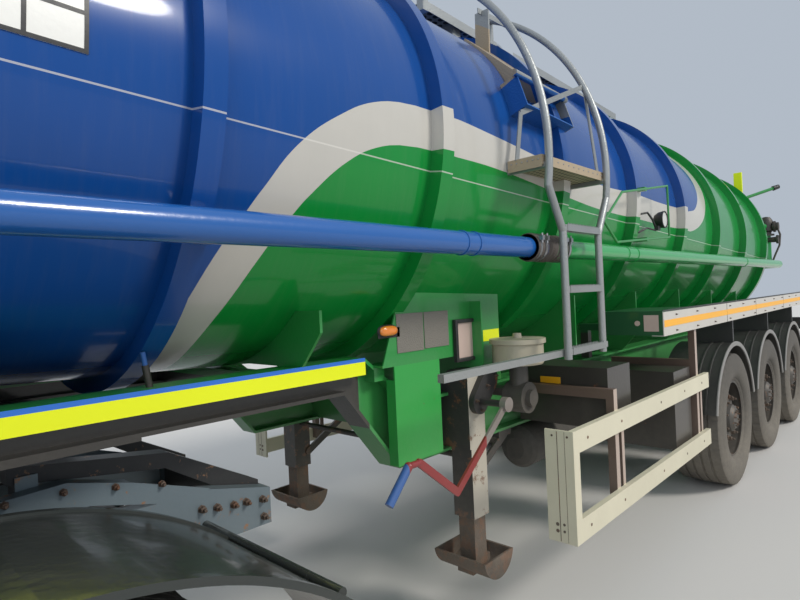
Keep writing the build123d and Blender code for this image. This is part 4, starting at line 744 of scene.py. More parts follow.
def nutShape(place, axis, way=1, size=1.0):
    # six-sided nut on a washer with its stud end, profile turned about the axis
    profile = np.array([(0, 0.021), (0.004, 0.021), (0.005, 0.0165), (0.025, 0.0165), (0.028, 0.013),
                        (0.029, 0.009), (0.045, 0.009), (0.047, 0.006)]) * size
    profile[:, 0] *= way
    return latheShape(profile, place, axis, 6)


def nutRow(places, axis="Y", way=1, size=1.0):
    return [nutShape(place, axis, way, size) for place in places]


def tyreShape(centre, radius, width):
    # closed section of bead, ribbed wall and grooved tread, turned round the axle; the shoulders
    # dip at every fifth step for their cuts
    bead = 0.297
    half, wall = width / 2, radius - bead
    flank = np.array([(0.775, 0.0), (0.83, 0.05), (0.842, 0.085), (0.90, 0.12), (0.955, 0.22), (0.982, 0.30),
                      (0.985, 0.325), (0.998, 0.42), (0.992, 0.55), (0.970, 0.70), (0.960, 0.72), (0.945, 0.81),
                      (0.905, 0.91), (0.865, 0.96)])
    crown = [(0.80, 0.0), (0.70, 0.0), (0.60, 0.0)]
    for groove in (0.50, 0.17, -0.17, -0.50):
        crown += [(groove + 0.05, 0), (groove + 0.035, 1), (groove - 0.035, 1), (groove - 0.05, 0)]
    crown += [(-0.60, 0.0), (-0.70, 0.0), (-0.80, 0.0)]
    crown = np.array(crown)
    crownR = radius - 0.002 - 0.010 * crown[:, 1] - 0.006 * (crown[:, 0] / 0.8) ** 2
    place = np.concatenate([flank[:, 0], crown[:, 0], -flank[::-1, 0]])
    reach = np.concatenate([bead + flank[:, 1] * wall, crownR, bead + flank[::-1, 1] * wall])
    steps = 220
    turn = np.linspace(0, 2 * math.pi, steps, endpoint=False)[:, None]
    shoulder = (np.abs(place) > 0.58) & (np.abs(place) < 0.92) & (reach > radius - 0.03)
    dips = 0.006 * shoulder[None, :] * ((np.arange(steps) % 5 == 0)[:, None])
    distance = reach[None, :] - dips
    points = np.stack([centre[0] + distance * np.cos(turn), centre[1] + 0 * turn + half * place[None, :],
                       centre[2] + distance * np.sin(turn)], axis=-1)
    return gridShape(points, closeU=True, closeV=True)


# Wheels: tyres with grooves, nuts and hub bolts
wheels = []
for side, way in (("left", 1), ("right", -1)):
    for i in range(3):
        wheels.append({"body": "trailer_wheel_%s_%d" % (side, i + 1), "tyre": "trailer_tyre_%s_%d" % (side, i + 1),
                       "x": firstAxle - axlePitch * i, "y": [1.0575 * way], "way": way, "radius": 0.520,
                       "width": 0.385, "face": 0.110, "cap": 0.172})
    wheels.append({"body": "front_wheel_" + side, "tyre": "front_tyre_" + side, "x": 5.295, "y": [1.020 * way],
                   "way": way, "radius": 0.507, "width": 0.312, "face": 0.120, "cap": 0.182})
    wheels.append({"body": "drive_wheel_" + side, "tyre": "drive_tyres_" + side, "x": 1.595,
                   "y": [1.094 * way, 0.749 * way], "way": way, "radius": 0.507, "width": 0.312,
                   "face": -0.1585, "cap": -0.0085})
nuts = {"count": 10, "ring": 0.1675, "hubCount": 8, "hubRing": 0.058}
for wheel in wheels:
    z = wheel["radius"]
    tyres = [tyreShape((wheel["x"], y, z), wheel["radius"], wheel["width"]) for y in wheel["y"]]
    tyre = makePiece(wheel["tyre"] + "_tread", tyres, "tyre", wheel["body"], smooth=30)
    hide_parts(wheel["tyre"])
    parts = []
    for count, ring, out, size in ((nuts["count"], nuts["ring"], wheel["face"], 1.0),
                                   (nuts["hubCount"], nuts["hubRing"], wheel["cap"], 0.4)):
        for angle in np.linspace(0.3, 0.3 + 2 * math.pi, count, endpoint=False):
            place = (wheel["x"] + ring * math.cos(angle), wheel["y"][0] + wheel["way"] * out,
                     z + ring * math.sin(angle))
            parts.append(nutShape(place, "Y", wheel["way"], size))
    makePiece(wheel["body"] + "_nuts", parts, "rustyBolt", wheel["body"], smooth=25)
print("wheels dressed")

# Trailer mudguards: pressed ribs and a dusty rolled lip
guardRibs = {"angles": (12, 168), "ribs": (1.09, 1.16), "outer": 0.602}
ribs, lips = [], []
for i in range(3):
    centre = (firstAxle - axlePitch * i, 0.52)
    for y in guardRibs["ribs"]:
        ribs.append(arcShape(centre, (guardRibs["outer"] - 0.002, guardRibs["outer"] + 0.006),
                             guardRibs["angles"], (y, y + 0.014)))
    lips.append(arcShape(centre, (0.574, 0.609), guardRibs["angles"], (1.2365, 1.2478)))
makePiece("guardRibs", bothSides(ribs), "blackPlastic", bevel=0.002)
makePiece("guardLips", bothSides(lips), "dustyLip", bevel=0.003)
print("mudguards ribbed")

# Plates, patch and side lamp on the left cradle plate
cradle = {"face": 0.7032}
plates = [trailerBox((3.113, cradle["face"], 1.354), (3.288, cradle["face"] + 0.003, 1.524)),
          trailerBox((2.932, cradle["face"], 1.358), (3.107, cradle["face"] + 0.003, 1.524))]
makePiece("cradlePlates", plates, "plate", bevel=0.001)
documentFrame = {"low": (2.712, 1.270), "high": (2.898, 1.476), "rim": 0.018, "depth": 0.022}
(x0, z0), (x1, z1) = documentFrame["low"], documentFrame["high"]
rim = documentFrame["rim"]
front = cradle["face"] + documentFrame["depth"]
bars = [trailerBox((x0, cradle["face"], z0), (x0 + rim, front, z1)),
        trailerBox((x1 - rim, cradle["face"], z0), (x1, front, z1)),
        trailerBox((x0 + rim, cradle["face"], z0), (x1 - rim, front, z0 + rim)),
        trailerBox((x0 + rim, cradle["face"], z1 - rim), (x1 - rim, front, z1))]
makePiece("documentFrame", bars, "blackPlastic", bevel=0.003)
makePiece("documentPlate", [trailerBox((x0 + rim, cradle["face"], z0 + rim), (x1 - rim, front - 0.012, z1 - rim))],
          "palePlate")
makePiece("cradlePatch", [trailerBox((2.505, cradle["face"], 1.350), (2.700, cradle["face"] + 0.0015, 1.408))],
          "yellowTape")

sideLamp = {"x": 3.345, "z": 1.456, "half": (0.052, 0.022), "base": 0.704, "lift": 0.010, "depth": 0.018,
            "rimHalf": (0.058, 0.027), "rimDepth": 0.016, "plateX": (3.27, 3.40), "plateZ": (-0.03, 0.012)}


def ovalDome(x, z, halfX, halfZ, base, depth, steps=28, rows=7):
    # oval (x, z) closed towards its middle as y rises: r = cos t, y = base + depth sin t
    turn = np.linspace(0, 2 * math.pi, steps, endpoint=False)
    rise = np.linspace(0, math.radians(84), rows)[:, None]
    flat = np.sign(np.cos(turn)) * np.abs(np.cos(turn)) ** 0.75
    tall = np.sign(np.sin(turn)) * np.abs(np.sin(turn)) ** 0.75
    points = np.stack([x + halfX * np.cos(rise) * flat, base + depth * np.sin(rise) + 0 * turn,
                       z + halfZ * np.cos(rise) * tall], axis=-1)
    return cappedGrid(points)


x, z = onTrailer(sideLamp["x"]), sideLamp["z"]
makePiece("sideLampLens", [ovalDome(x, z, *sideLamp["half"], sideLamp["base"] + sideLamp["lift"], sideLamp["depth"])],
          "amberLens")
(rear, front), (low, high) = sideLamp["plateX"], sideLamp["plateZ"]
makePiece("sideLampBase", [ovalDome(x, z, *sideLamp["rimHalf"], sideLamp["base"], sideLamp["rimDepth"]),
                           trailerBox((rear, cradle["face"], z + low), (front, cradle["face"] + 0.003, z + high))],
          "blackPlastic")

# Thin lever on the neck rail
lever = {"foot": (4.292, 0.585, 1.340), "top": (4.310, 0.585, 1.460)}
foot, top = (np.array([onTrailer(lever[key][0]), *lever[key][1:]]) for key in ("foot", "top"))
grip = foot * 0.35 + top * 0.65
makePiece("neckLever", [tubeShape([foot, grip], 0.011, 10)], "cast")
makePiece("neckLeverTop", [tubeShape([grip, top], 0.008, 10)], "blueGrip")

# Blank sign on the tank's shoulder, at its front
sign = {"rear": 4.544, "front": 5.12, "low": -5.9, "high": 16.0, "line": 0.010}
lineAngle = math.degrees(sign["line"] / tank["radius"])
makePiece("sideSign", [tankSheet((sign["rear"], sign["front"]), (sign["low"], sign["high"]), (0.9470, 0.9490))],
          "signWhite")
radii = (0.9485, 0.9500)
lines = [tankSheet((sign["rear"], sign["front"]), (angle, angle + lineAngle), radii)
         for angle in (sign["low"], -0.5, 5.0, 10.4, sign["high"] - lineAngle)]
for u in (sign["rear"], 4.671, sign["front"] - sign["line"]):
    lines.append(tankSheet((u, u + sign["line"]), (sign["low"], sign["high"]), radii))
makePiece("signLines", lines, "signBlack")
print("plates and sign fixed")

# Suction pipe: wrinkled coupling with clamps, joint rings, and the riser with valves at the rear
coupling = {"rear": 2.41, "front": 2.73, "radius": 0.0615, "bore": 0.048}
along = np.linspace(coupling["rear"], coupling["front"], 90)
wave = 0.0016 * np.sin(along * 190) + 0.0011 * np.sin(along * 437 + 1.3) + 0.0014 * rng.standard_normal(90)
profile = [(coupling["rear"], coupling["bore"])] + list(zip(along, coupling["radius"] + 0.002 + wave))
profile.append((coupling["front"], coupling["bore"]))
shape = latheShape([(onTrailer(x), r) for x, r in profile], pipeAxis, "X", 28)
makePiece("coupling", [shape], "hose", smooth=60)
clamp = {"at": (2.43, 2.475, 2.665, 2.71), "band": [(-0.008, 0.060), (-0.008, 0.0672), (0.008, 0.0672), (0.008, 0.060)],
         "y": (1.085, 1.107), "z": (1.828, 1.848), "half": 0.010, "screw": [(0, 0.004), (0.045, 0.004)],
         "screwFoot": (1.100, 1.815)}
clamps = []
for x in clamp["at"]:
    clamps += [latheShape(clamp["band"], (onTrailer(x), *pipeAxis[1:]), "X", 32),
               trailerBox((x - clamp["half"], clamp["y"][0], clamp["z"][0]),
                          (x + clamp["half"], clamp["y"][1], clamp["z"][1])),
               latheShape(clamp["screw"], (onTrailer(x), *clamp["screwFoot"]), "Z", 8)]
makePiece("couplingClamps", clamps, "steel", smooth=30)
pipeRing = {"at": (1.62, 1.47, 3.235, 3.155, -1.4, 4.8),
            "profile": [(-0.006, 0.046), (-0.005, 0.0505), (0.005, 0.0505), (0.006, 0.046)]}
rings = [latheShape(pipeRing["profile"], (onTrailer(x), *pipeAxis[1:]), "X", 28) for x in pipeRing["at"]]
makePiece("pipeRings", rings, "pipe")
riser = {"x": -3.153, "y": 0.93, "low": 1.80, "high": 2.17, "radius": 0.048,
         "branch": [(-3.153, 0.93, 2.27), (-2.90, 0.885, 2.27)], "branchRadius": 0.036,
         "valve": [(2.155, 0.050), (2.155, 0.085), (2.175, 0.085), (2.176, 0.055), (2.200, 0.055), (2.215, 0.078),
                   (2.300, 0.082), (2.345, 0.070), (2.385, 0.045), (2.392, 0.010)],
         "port": [(0.93, 0.040), (1.005, 0.044), (1.008, 0.068), (1.030, 0.068), (1.033, 0.050), (1.062, 0.050),
                  (1.066, 0.010)], "portHeight": 2.262,
         "tap": [(0.93, 0.030), (1.02, 0.034), (1.022, 0.052), (1.045, 0.052), (1.047, 0.010)],
         "tapPlace": (-3.10, 0.02, 2.10),
         "drain": [(0.02, 1.05, 2.24), (0.01, 1.075, 2.16), (-0.01, 1.06, 2.03), (0.0, 1.02, 1.93), (0.0, 0.985, 1.84)],
         "drainRadius": 0.011}
x = onTrailer(riser["x"])
makePiece("riser", [tubeShape([(x, riser["y"], riser["low"]), (x, riser["y"], riser["high"])], riser["radius"], 20),
                    tubeShape(trailerPath(riser["branch"]), riser["branchRadius"], 16)], "pipe")
makePiece("riserValve", [latheShape(riser["valve"], (x, riser["y"], 0), "Z", 24),
                         latheShape(riser["port"], (x, 0, riser["portHeight"]), "Y", 22),
                         latheShape(riser["tap"], trailerPath([riser["tapPlace"]])[0], "Y", 20)],
          "cast")
drain = tubeShape([(x + along, y, z) for along, y, z in riser["drain"]], riser["drainRadius"], 10)
makePiece("riserDrain", [drain], "hose")
rearArm = {"path": [(-2.80, 0.74, 2.60), (-3.10, 1.04, 2.725)], "radius": 0.019,
           "endPath": [(-3.09, 1.030, 2.721), (-3.14, 1.080, 2.742)], "endRadii": [0.030, 0.026]}
makePiece("rearArm", [tubeShape(trailerPath(rearArm["path"]), rearArm["radius"], 14)], "green")
makePiece("rearArmEnd", [tubeShape(trailerPath(rearArm["endPath"]), rearArm["endRadii"], 14)],
          "blackPlastic")
rearMarker = {"low": (-2.93, 0.655, 2.655), "high": (-2.90, 0.745, 2.95)}
makePiece("rearMarker", [trailerBox(rearMarker["low"], rearMarker["high"])],
          "yellowTape", bevel=0.004)
print("pipe dressed")

# Work lamp and its rod frame on the tank's side
lampFrame = {"y": 1.050, "rod": 0.0075, "corners": [(1.745, 1.863), (1.914, 1.975), (1.636, 2.169), (0.822, 2.299),
                                                    (0.818, 1.938)],
             "tabs": ((1.248, 2.231), (1.248, 1.903)), "tabHalf": (0.02, 0.012), "tabInner": 0.955}
rods = []
corners = lampFrame["corners"] + lampFrame["corners"][:1]
for (xa, za), (xb, zb) in zip(corners, corners[1:]):
    rods.append(tubeShape(trailerPath([(xa, lampFrame["y"], za), (xb, lampFrame["y"], zb)]), lampFrame["rod"], 10))
halfX, halfZ = lampFrame["tabHalf"]
for x, z in lampFrame["tabs"]:
    rods.append(trailerBox((x - halfX, lampFrame["tabInner"], z - halfZ),
                           (x + halfX, lampFrame["y"] + 0.004, z + halfZ)))
makePiece("lampFrame", rods, "green")
workLamp = {"x": 0.956, "y": 1.045, "z": 2.050, "radius": 0.059,
            "stay": [(1.22, 0.99, 2.075), (1.17, 1.03, 2.085), (1.10, 1.035, 2.045), (1.03, 1.03, 1.995)],
            "lowStay": [(1.22, 0.98, 1.955), (1.16, 1.02, 1.985), (1.03, 1.03, 1.975)], "stayRadii": (0.007, 0.006)}
x, y, z = onTrailer(workLamp["x"]), workLamp["y"], workLamp["z"]
r = workLamp["radius"]
head = latheShape([(-0.045, 0.020), (-0.040, 0.038), (-0.015, r - 0.006), (0.018, r), (0.026, r), (0.027, r - 0.006),
                   (0.022, r - 0.008), (0.020, 0.004)], (x, y, z), "Y", 28)
stays = [tubeShape(trailerPath(workLamp["stay"]), workLamp["stayRadii"][0], 8),
         tubeShape(trailerPath(workLamp["lowStay"]), workLamp["stayRadii"][1], 8),
         boxShape((x + 0.035, y - 0.02, z - 0.075), (x + 0.085, y + 0.005, z - 0.045))]
makePiece("workLamp", [head] + stays, "blackPlastic")
makePiece("workLampGlass", [latheShape([(0.019, 0.003), (0.020, r - 0.009), (0.0225, r - 0.010), (0.024, 0.003)],
                                       (x, y, z), "Y", 28)], "paleLens")
print("work lamp set")

# Ladder: serrated rungs, tan platform sheets with rivets, and flat braces
ladder = {"rungs": (1.305, 1.595, 1.885), "rear": 2.238, "front": 2.582, "y": (1.1288, 1.1612)}
teeth = 22
step = np.linspace(ladder["rear"], ladder["front"], 2 * teeth + 1)
strips = []
for z in ladder["rungs"]:
    upper = [(onTrailer(x), z + (0.0225 if i % 2 else 0.014)) for i, x in enumerate(step)]
    outline = upper + [(onTrailer(ladder["front"]), z - 0.015), (onTrailer(ladder["rear"]), z - 0.015)]
    strips += [plateShape(outline, ladder["y"][1], ladder["y"][1] + 0.002),
               plateShape(outline, ladder["y"][0] - 0.002, ladder["y"][0])]
makePiece("rungTeeth", strips, "galvanised", smooth=20)
platform = {"rear": 2.078, "front": 2.742, "inner": 0.955, "outer": 1.133, "low": 2.1735, "high": 2.2065,
            "rivet": [(0, 0.0045), (0.0022, 0.0036), (0.003, 0.001)], "rivetZ": 2.19, "rivetY": (0.975, 1.115)}
x0, x1 = onTrailer(platform["rear"]), onTrailer(platform["front"])
inner, outer, low, high = (platform[key] for key in ("inner", "outer", "low", "high"))
sheets = [boxShape((x0, inner, high), (x1, outer, high + 0.002)),
          boxShape((x0, inner, low - 0.002), (x1, outer, low))]
skirts = [boxShape((x1, inner, low - 0.02), (x1 + 0.002, outer, high + 0.002)),
          boxShape((x0 - 0.002, inner, low - 0.02), (x0, outer, high + 0.002)),
          boxShape((x0, outer, low - 0.01), (x1, outer + 0.002, high + 0.002))]
makePiece("platformSheets", sheets, "tan")
makePiece("platformSkirts", skirts, "tanEdge")
rivet, z = platform["rivet"], platform["rivetZ"]
rivets = [latheShape(rivet, (x1 + 0.002, y, z), "X", 8) for y in np.linspace(*platform["rivetY"], 6)]
rivets += [latheShape(rivet, (x, platform["outer"] + 0.002, z), "Y", 8)
           for x in np.linspace(x0 + 0.04, x1 - 0.04, 12)]
makePiece("platformRivets", rivets, "steel")
# each brace: start, end, width, depth
braces = [((2.735, 1.00, 2.200), (2.655, 0.985, 2.450), 0.030, 0.005),
          ((2.085, 1.10, 2.200), (2.100, 1.05, 2.690), 0.030, 0.005),
          ((2.395, 0.590, 3.180), (2.100, 0.590, 3.190), 0.030, 0.006),
          ((2.655, 0.985, 2.450), (2.100, 1.05, 2.690), 0.026, 0.005)]
makePiece("ladderBraces", [barShape(*trailerPath([start, end]), width, depth) for start, end, width, depth in braces],
          "galvanised")
print("ladder dressed")

# Reflector, locker plate, bolts and rods along the left side
boxReflector = {"low": (2.2402, 0.79, 1.090), "high": (2.2450, 0.91, 1.125)}
makePiece("boxReflector", [trailerBox(boxReflector["low"], boxReflector["high"])],
          "amberTape", bevel=0.001)
lockerPlate = {"low": (1.6202, 1.138, 1.328), "high": (1.6225, 1.222, 1.424), "lockPlace": (1.6202, 1.10, 1.376),
               "lock": [(0, 0.016), (0.0033, 0.016), (0.0034, 0.006)]}
makePiece("lockerPlate", [trailerBox(lockerPlate["low"], lockerPlate["high"]),
                          latheShape(lockerPlate["lock"], trailerPath([lockerPlate["lockPlace"]])[0], "X", 18)],
          "palePlate")
boardTrim = {"joints": (0.22, -0.765, -2.05), "half": 0.0015, "face": 1.2500, "low": 1.3005, "high": 1.4400,
             "rod": 0.006, "rodPath": [(-3.30, 1.240, 1.446), (1.60, 1.240, 1.446)], "bolts": (1.322, 1.418)}
trim = [trailerBox((x - boardTrim["half"], boardTrim["face"], boardTrim["low"]),
                   (x + boardTrim["half"], boardTrim["face"] + 0.0016, boardTrim["high"])) for x in boardTrim["joints"]]
trim.append(tubeShape(trailerPath(boardTrim["rodPath"]), boardTrim["rod"], 8))
makePiece("boardTrim", bothSides(trim), "blackMetal")
boardBolts = nutRow(trailerPath([(x, boardTrim["face"] + 0.0002, z) for x in np.arange(-3.22, 1.6, 0.42)
                                 for z in boardTrim["bolts"]]), size=0.28)
makePiece("boardBolts", bothSides(boardBolts), "rustyBolt")

# Side guards: folded seam, keyholes and bolts
guardMarks = {"face": 2.8002, "low": 0.50, "high": 0.98, "seams": ((1.172, 1.175), (1.208, 1.2095)),
              "keyholes": ((0.006, 1.192, 0.575), (0.008, 1.160, 0.572), (0.006, 1.192, 0.545), (0.008, 1.160, 0.543),
                           (0.005, 1.222, 0.96), (0.005, 1.150, 0.96)),
              "boltX": (2.66, 2.28, 1.72, 1.30, 0.94), "boltZ": (0.546, 0.935),
              "bolt": [(1.2502, 0.007), (1.2512, 0.007), (1.25125, 0.003)]}
face = guardMarks["face"]
seam = [trailerBox((face, inner, guardMarks["low"]), (face + 0.0008, outer, guardMarks["high"]))
        for inner, outer in guardMarks["seams"]]
holes = [latheShape([(0, r), (0.001, r), (0.00105, r * 0.4)], (onTrailer(face), y, z), "X", 14)
         for r, y, z in guardMarks["keyholes"]]
holes += [latheShape(guardMarks["bolt"], (onTrailer(x), 0, z), "Y", 12)
          for x in guardMarks["boltX"] for z in guardMarks["boltZ"]]
makePiece("guardMarks", bothSides(seam + holes), "rustySteel")

# Bolts on the landing leg's cover and on the tractor's rails
legFace, railFace = 0.8022, 0.4302
legBolts = ((2.828, 1.038), (2.868, 1.090), (2.790, 1.070), (2.700, 1.190), (2.752, 1.222), (2.775, 1.150))
bolts = nutRow(trailerPath([(x, legFace, z) for x, z in legBolts]), size=0.4)
makePiece("legBolts", bothSides(bolts), "rustyBolt")
railBolts = [(0.658, 0.823), (0.655, 0.754), (0.730, 0.833), (0.783, 0.838), (0.851, 0.848), (0.910, 0.859)]
railBolts += [(x, z) for x in (2.9, 3.0, 3.1, 4.2, 4.3) for z in (0.70, 0.86)]
bolts = nutRow([(x, railFace, z) for x, z in railBolts], size=0.75)
bolts += nutRow([(x, railFace, z) for x, z in ((1.05, 0.99), (1.20, 1.02), (1.35, 1.045), (1.50, 1.05))], size=0.6)
makePiece("railBolts", bothSides(bolts), "rustyBolt", "tractor", smooth=25)
print("trims and bolts fixed")

# Cab: blank plate, lamps, grille bars, visor, wipers, mirror glass and door fittings

def screenX(z):
    # front of the cab at a height: straight line from the sill up and back
    return 6.615 - 0.32 * (z - 1.84)


grille = {"low": 1.24, "gap": 0.105, "count": 5, "half": 0.775}
bars = []
for i in range(grille["count"]):
    z = grille["low"] + i * grille["gap"]
    for rise in (0.012, 0.031, 0.050):
        bars.append(boxShape((6.630, -grille["half"], z + rise - 0.004), (6.646, grille["half"], z + rise + 0.004)))
makePiece("grilleBars", bars, "blackMetal", "tractor", bevel=0.001)
bumper = {"face": 6.6752, "front": 6.6785, "plateHalf": 0.26, "plateZ": (0.44, 0.55), "slotHalf": 0.56,
          "slots": (0.62, 0.665, 0.71, 0.755), "slotHeight": 0.022}
half, (low, high) = bumper["plateHalf"], bumper["plateZ"]
makePiece("frontPlate", [boxShape((bumper["face"], -half, low), (bumper["front"], half, high))], "signWhite",
          "tractor", bevel=0.001)
half = bumper["slotHalf"]
intake = [boxShape((bumper["face"], -half, z), (bumper["front"], half, z + bumper["slotHeight"]))
          for z in bumper["slots"]]
makePiece("bumperIntake", intake, "blackPlastic", "tractor", bevel=0.002)
lamp = {"y": 0.790, "z": 0.710, "radius": 0.074}
bowls = [latheShape([(6.618, 0.012), (6.622, 0.035), (6.634, 0.058), (6.652, lamp["radius"]), (6.656, lamp["radius"]),
                     (6.656, lamp["radius"] + 0.004), (6.640, lamp["radius"] + 0.004), (6.617, 0.040)],
                    (0, lamp["y"], lamp["z"]), "X", 28)]
makePiece("lampBowls", bothSides(bowls), "chrome", "tractor")
turnLamp = {"outline": [(6.575, 0.888), (6.650, 0.888), (6.616, 1.004), (6.575, 1.004)], "z": (0.628, 0.792)}
makePiece("turnLamps", bothSides([plateShape(turnLamp["outline"], *turnLamp["z"], "Z")]), "amberLens", "tractor",
          bevel=0.006)
visor = {"outline": [(6.268, 2.878), (6.445, 2.802), (6.450, 2.794), (6.262, 2.866)], "half": 1.02,
         "brackets": (-0.9, 0.0, 0.9), "bracketHalf": 0.012, "bracketX": (6.27, 6.33), "bracketZ": (2.80, 2.862)}
(rear, front), (low, high), half = visor["bracketX"], visor["bracketZ"], visor["bracketHalf"]
brackets = [boxShape((rear, y - half, low), (front, y + half, high)) for y in visor["brackets"]]
makePiece("sunVisor", [plateShape(visor["outline"], -visor["half"], visor["half"])] + brackets, "blackPlastic",
          "tractor", bevel=0.003)
marker = {"x": 6.085, "y": (-0.95, -0.55, 0.55, 0.95),
          "profile": [(3.000, 0.030), (3.040, 0.028), (3.052, 0.018), (3.055, 0.004)]}
markers = [latheShape(marker["profile"], (marker["x"], y, 0), "Z", 18) for y in marker["y"]]
makePiece("roofMarkers", markers, "amberLens", "tractor")
wipers = []
for pivot, tip in ((-0.80, -0.10), (-0.02, 0.72)):
    wipers.append(tubeShape([(screenX(1.93) + 0.004, pivot, 1.93), (screenX(2.10) + 0.022, (pivot + tip) / 2, 2.10),
                             (screenX(2.16) + 0.016, (pivot + 3 * tip) / 4, 2.18)], [0.011, 0.007, 0.006], 8))
    wipers.append(barShape((screenX(2.00) + 0.004, pivot + 0.10, 2.02), (screenX(2.30) + 0.004, tip, 2.26),
                           0.020, 0.014, side=(1, 0, 0.3)))
    wipers.append(latheShape([(6.575, 0.022), (6.606, 0.022), (6.610, 0.010)], (0, pivot, 1.93), "X", 14))
makePiece("wipers", wipers, "blackPlastic", "tractor")
glass = [boxShape((6.2332, 1.325, low), (6.2350, 1.475, high)) for low, high in ((2.10, 2.485), (1.915, 2.085))]
makePiece("mirrorGlass", bothSides(glass), "mirror", "tractor", bevel=0.004)
window = [(5.385, 1.95), (6.115, 1.95), (5.935, 2.68), (5.385, 2.68)]
for side, way in (("left", 1), ("right", -1)):
    seals = [barShape((xa, 1.2405 * way, za), (xb, 1.2405 * way, zb), 0.030, 0.006)
             for (xa, za), (xb, zb) in zip(window, window[1:] + window[:1])]
    makePiece("windowSeal_" + side, seals, "rubber", "door_" + side, bevel=0.001)
    grip = tubeShape([(5.340, 1.240 * way, 1.722), (5.352, 1.262 * way, 1.722), (5.440, 1.264 * way, 1.722),
                      (5.452, 1.240 * way, 1.722)], 0.010, 10)
    pan = boxShape((5.325, 1.2402 * way, 1.690), (5.468, 1.2430 * way, 1.754))
    makePiece("doorHandle_" + side, [grip, pan], "blackPlastic", "door_" + side)
cabRib = {"x": (4.3705, 4.3752), "z": (1.35, 2.85), "half": 0.03, "y": (-0.9, -0.45, 0.0, 0.45, 0.9)}
(rear, front), (low, high), half = cabRib["x"], cabRib["z"], cabRib["half"]
ribs = [boxShape((rear, y - half, low), (front, y + half, high)) for y in cabRib["y"]]
makePiece("cabRibs", ribs, "blue", "tractor", bevel=0.002)
rails = [tubeShape([(5.245, 1.240 * way, 1.40), (5.235, 1.2475 * way, 1.46), (5.235, 1.2475 * way, 2.20),
                    (5.245, 1.240 * way, 2.26)], 0.0115, 10) for way in (1, -1)]
makePiece("grabRails", rails, "galvanised", "tractor")
print("cab dressed")

# Side tanks: straps and caps
tankTrim = {"straps": (2.75, 3.45, 4.15), "low": 0.43, "high": 1.00, "outer": 1.150}
straps = []
for x in tankTrim["straps"]:
    straps += [boxShape((x - 0.03, tankTrim["outer"], 0.50), (x + 0.03, tankTrim["outer"] + 0.004, 0.93)),
               boxShape((x - 0.03, 0.50, tankTrim["high"]), (x + 0.03, 1.08, tankTrim["high"] + 0.004)),
               arcTurn(x, 1.08, 0.93, 0.070, 0.0742, 0, 90), arcTurn(x, 1.08, 0.50, 0.070, 0.0742, -90, 0),
               boxShape((x - 0.03, 0.50, tankTrim["low"] - 0.004), (x + 0.03, 1.08, tankTrim["low"]))]
makePiece("tankStraps", bothSides(straps), "galvanised", "tractor")
tankCap = {"profile": [(1.000, 0.040), (1.022, 0.042), (1.026, 0.056), (1.052, 0.056), (1.056, 0.048), (1.057, 0.006)],
           "place": (2.55, 0.92, 0)}
makePiece("tankCaps", bothSides([latheShape(tankCap["profile"], tankCap["place"], "Z", 24)]), "blackPlastic",
          "tractor")

# Rear: lamp lenses, blank plate, reflectors and bolts
rear = {"lamp": -6.505, "board": -6.465, "bar": -6.495}
for name, inner, outer, key, slot in (("rearTurnLenses", 1.075, 1.172, "amberLens", "red_lens"),
                                      ("rearWhiteLenses", 0.790, 0.870, "paleLens", "lamp_lens")):
    lens = boxShape((rear["lamp"] - 0.004, inner, 1.020), (rear["lamp"] + 0.001, outer, 1.110))
    makePiece(name, bothSides([lens]), key, bevel=0.002)
makePiece("rearPlate", [boxShape((rear["board"] - 0.003, -0.26, 1.015), (rear["board"], 0.26, 1.125))],
          "signWhite", bevel=0.001)
for name, first, key, slot in (("rearTapeRed", -1.15, "redLens", "red_lens"),
                               ("rearTapeWhite", -0.85, "signWhite", "board_white")):
    strips = [boxShape((rear["bar"] - 0.0015, y, 0.425), (rear["bar"], y + 0.30, 0.515))
              for y in np.arange(first, 1.0, 0.60)]
    makePiece(name, strips, key)
bolts = nutRow([(rear["board"], y, z) for y in (-1.19, -0.62, -0.55, 0.55, 0.62, 1.19) for z in (1.03, 1.11)],
               "X", -1, 0.6)
makePiece("rearBolts", bolts, "rustyBolt", smooth=25)
print("rear dressed")

# Seats: plain frames, and cushions swelled by cloth from slightly smaller blocks
seatPlan = {"cushion": ((5.195, 0.39, 1.478), (5.675, 0.85, 1.585)),
            "back": ((0.0, 0.395, 1.575), (0.085, 0.845, 2.350)), "lean": 0.176, "backFoot": 5.205,
            "voxel": 0.012, "swell": 0.022, "channels": (0.49, 0.75), "channelDepth": 0.007, "channelWidth": 0.012,
            "blocks": ((5.225, 0.42, 1.210, 5.625, 0.82, 1.250), (5.265, 0.46, 1.250, 5.585, 0.78, 1.420),
                       (5.225, 0.42, 1.420, 5.625, 0.82, 1.469)), "barY": (0.385, 0.855)}


def pointsOf(mesh):
    flat = np.empty(3 * len(mesh.vertices))
    mesh.vertices.foreach_get("co", flat)
    return flat.reshape(-1, 3)


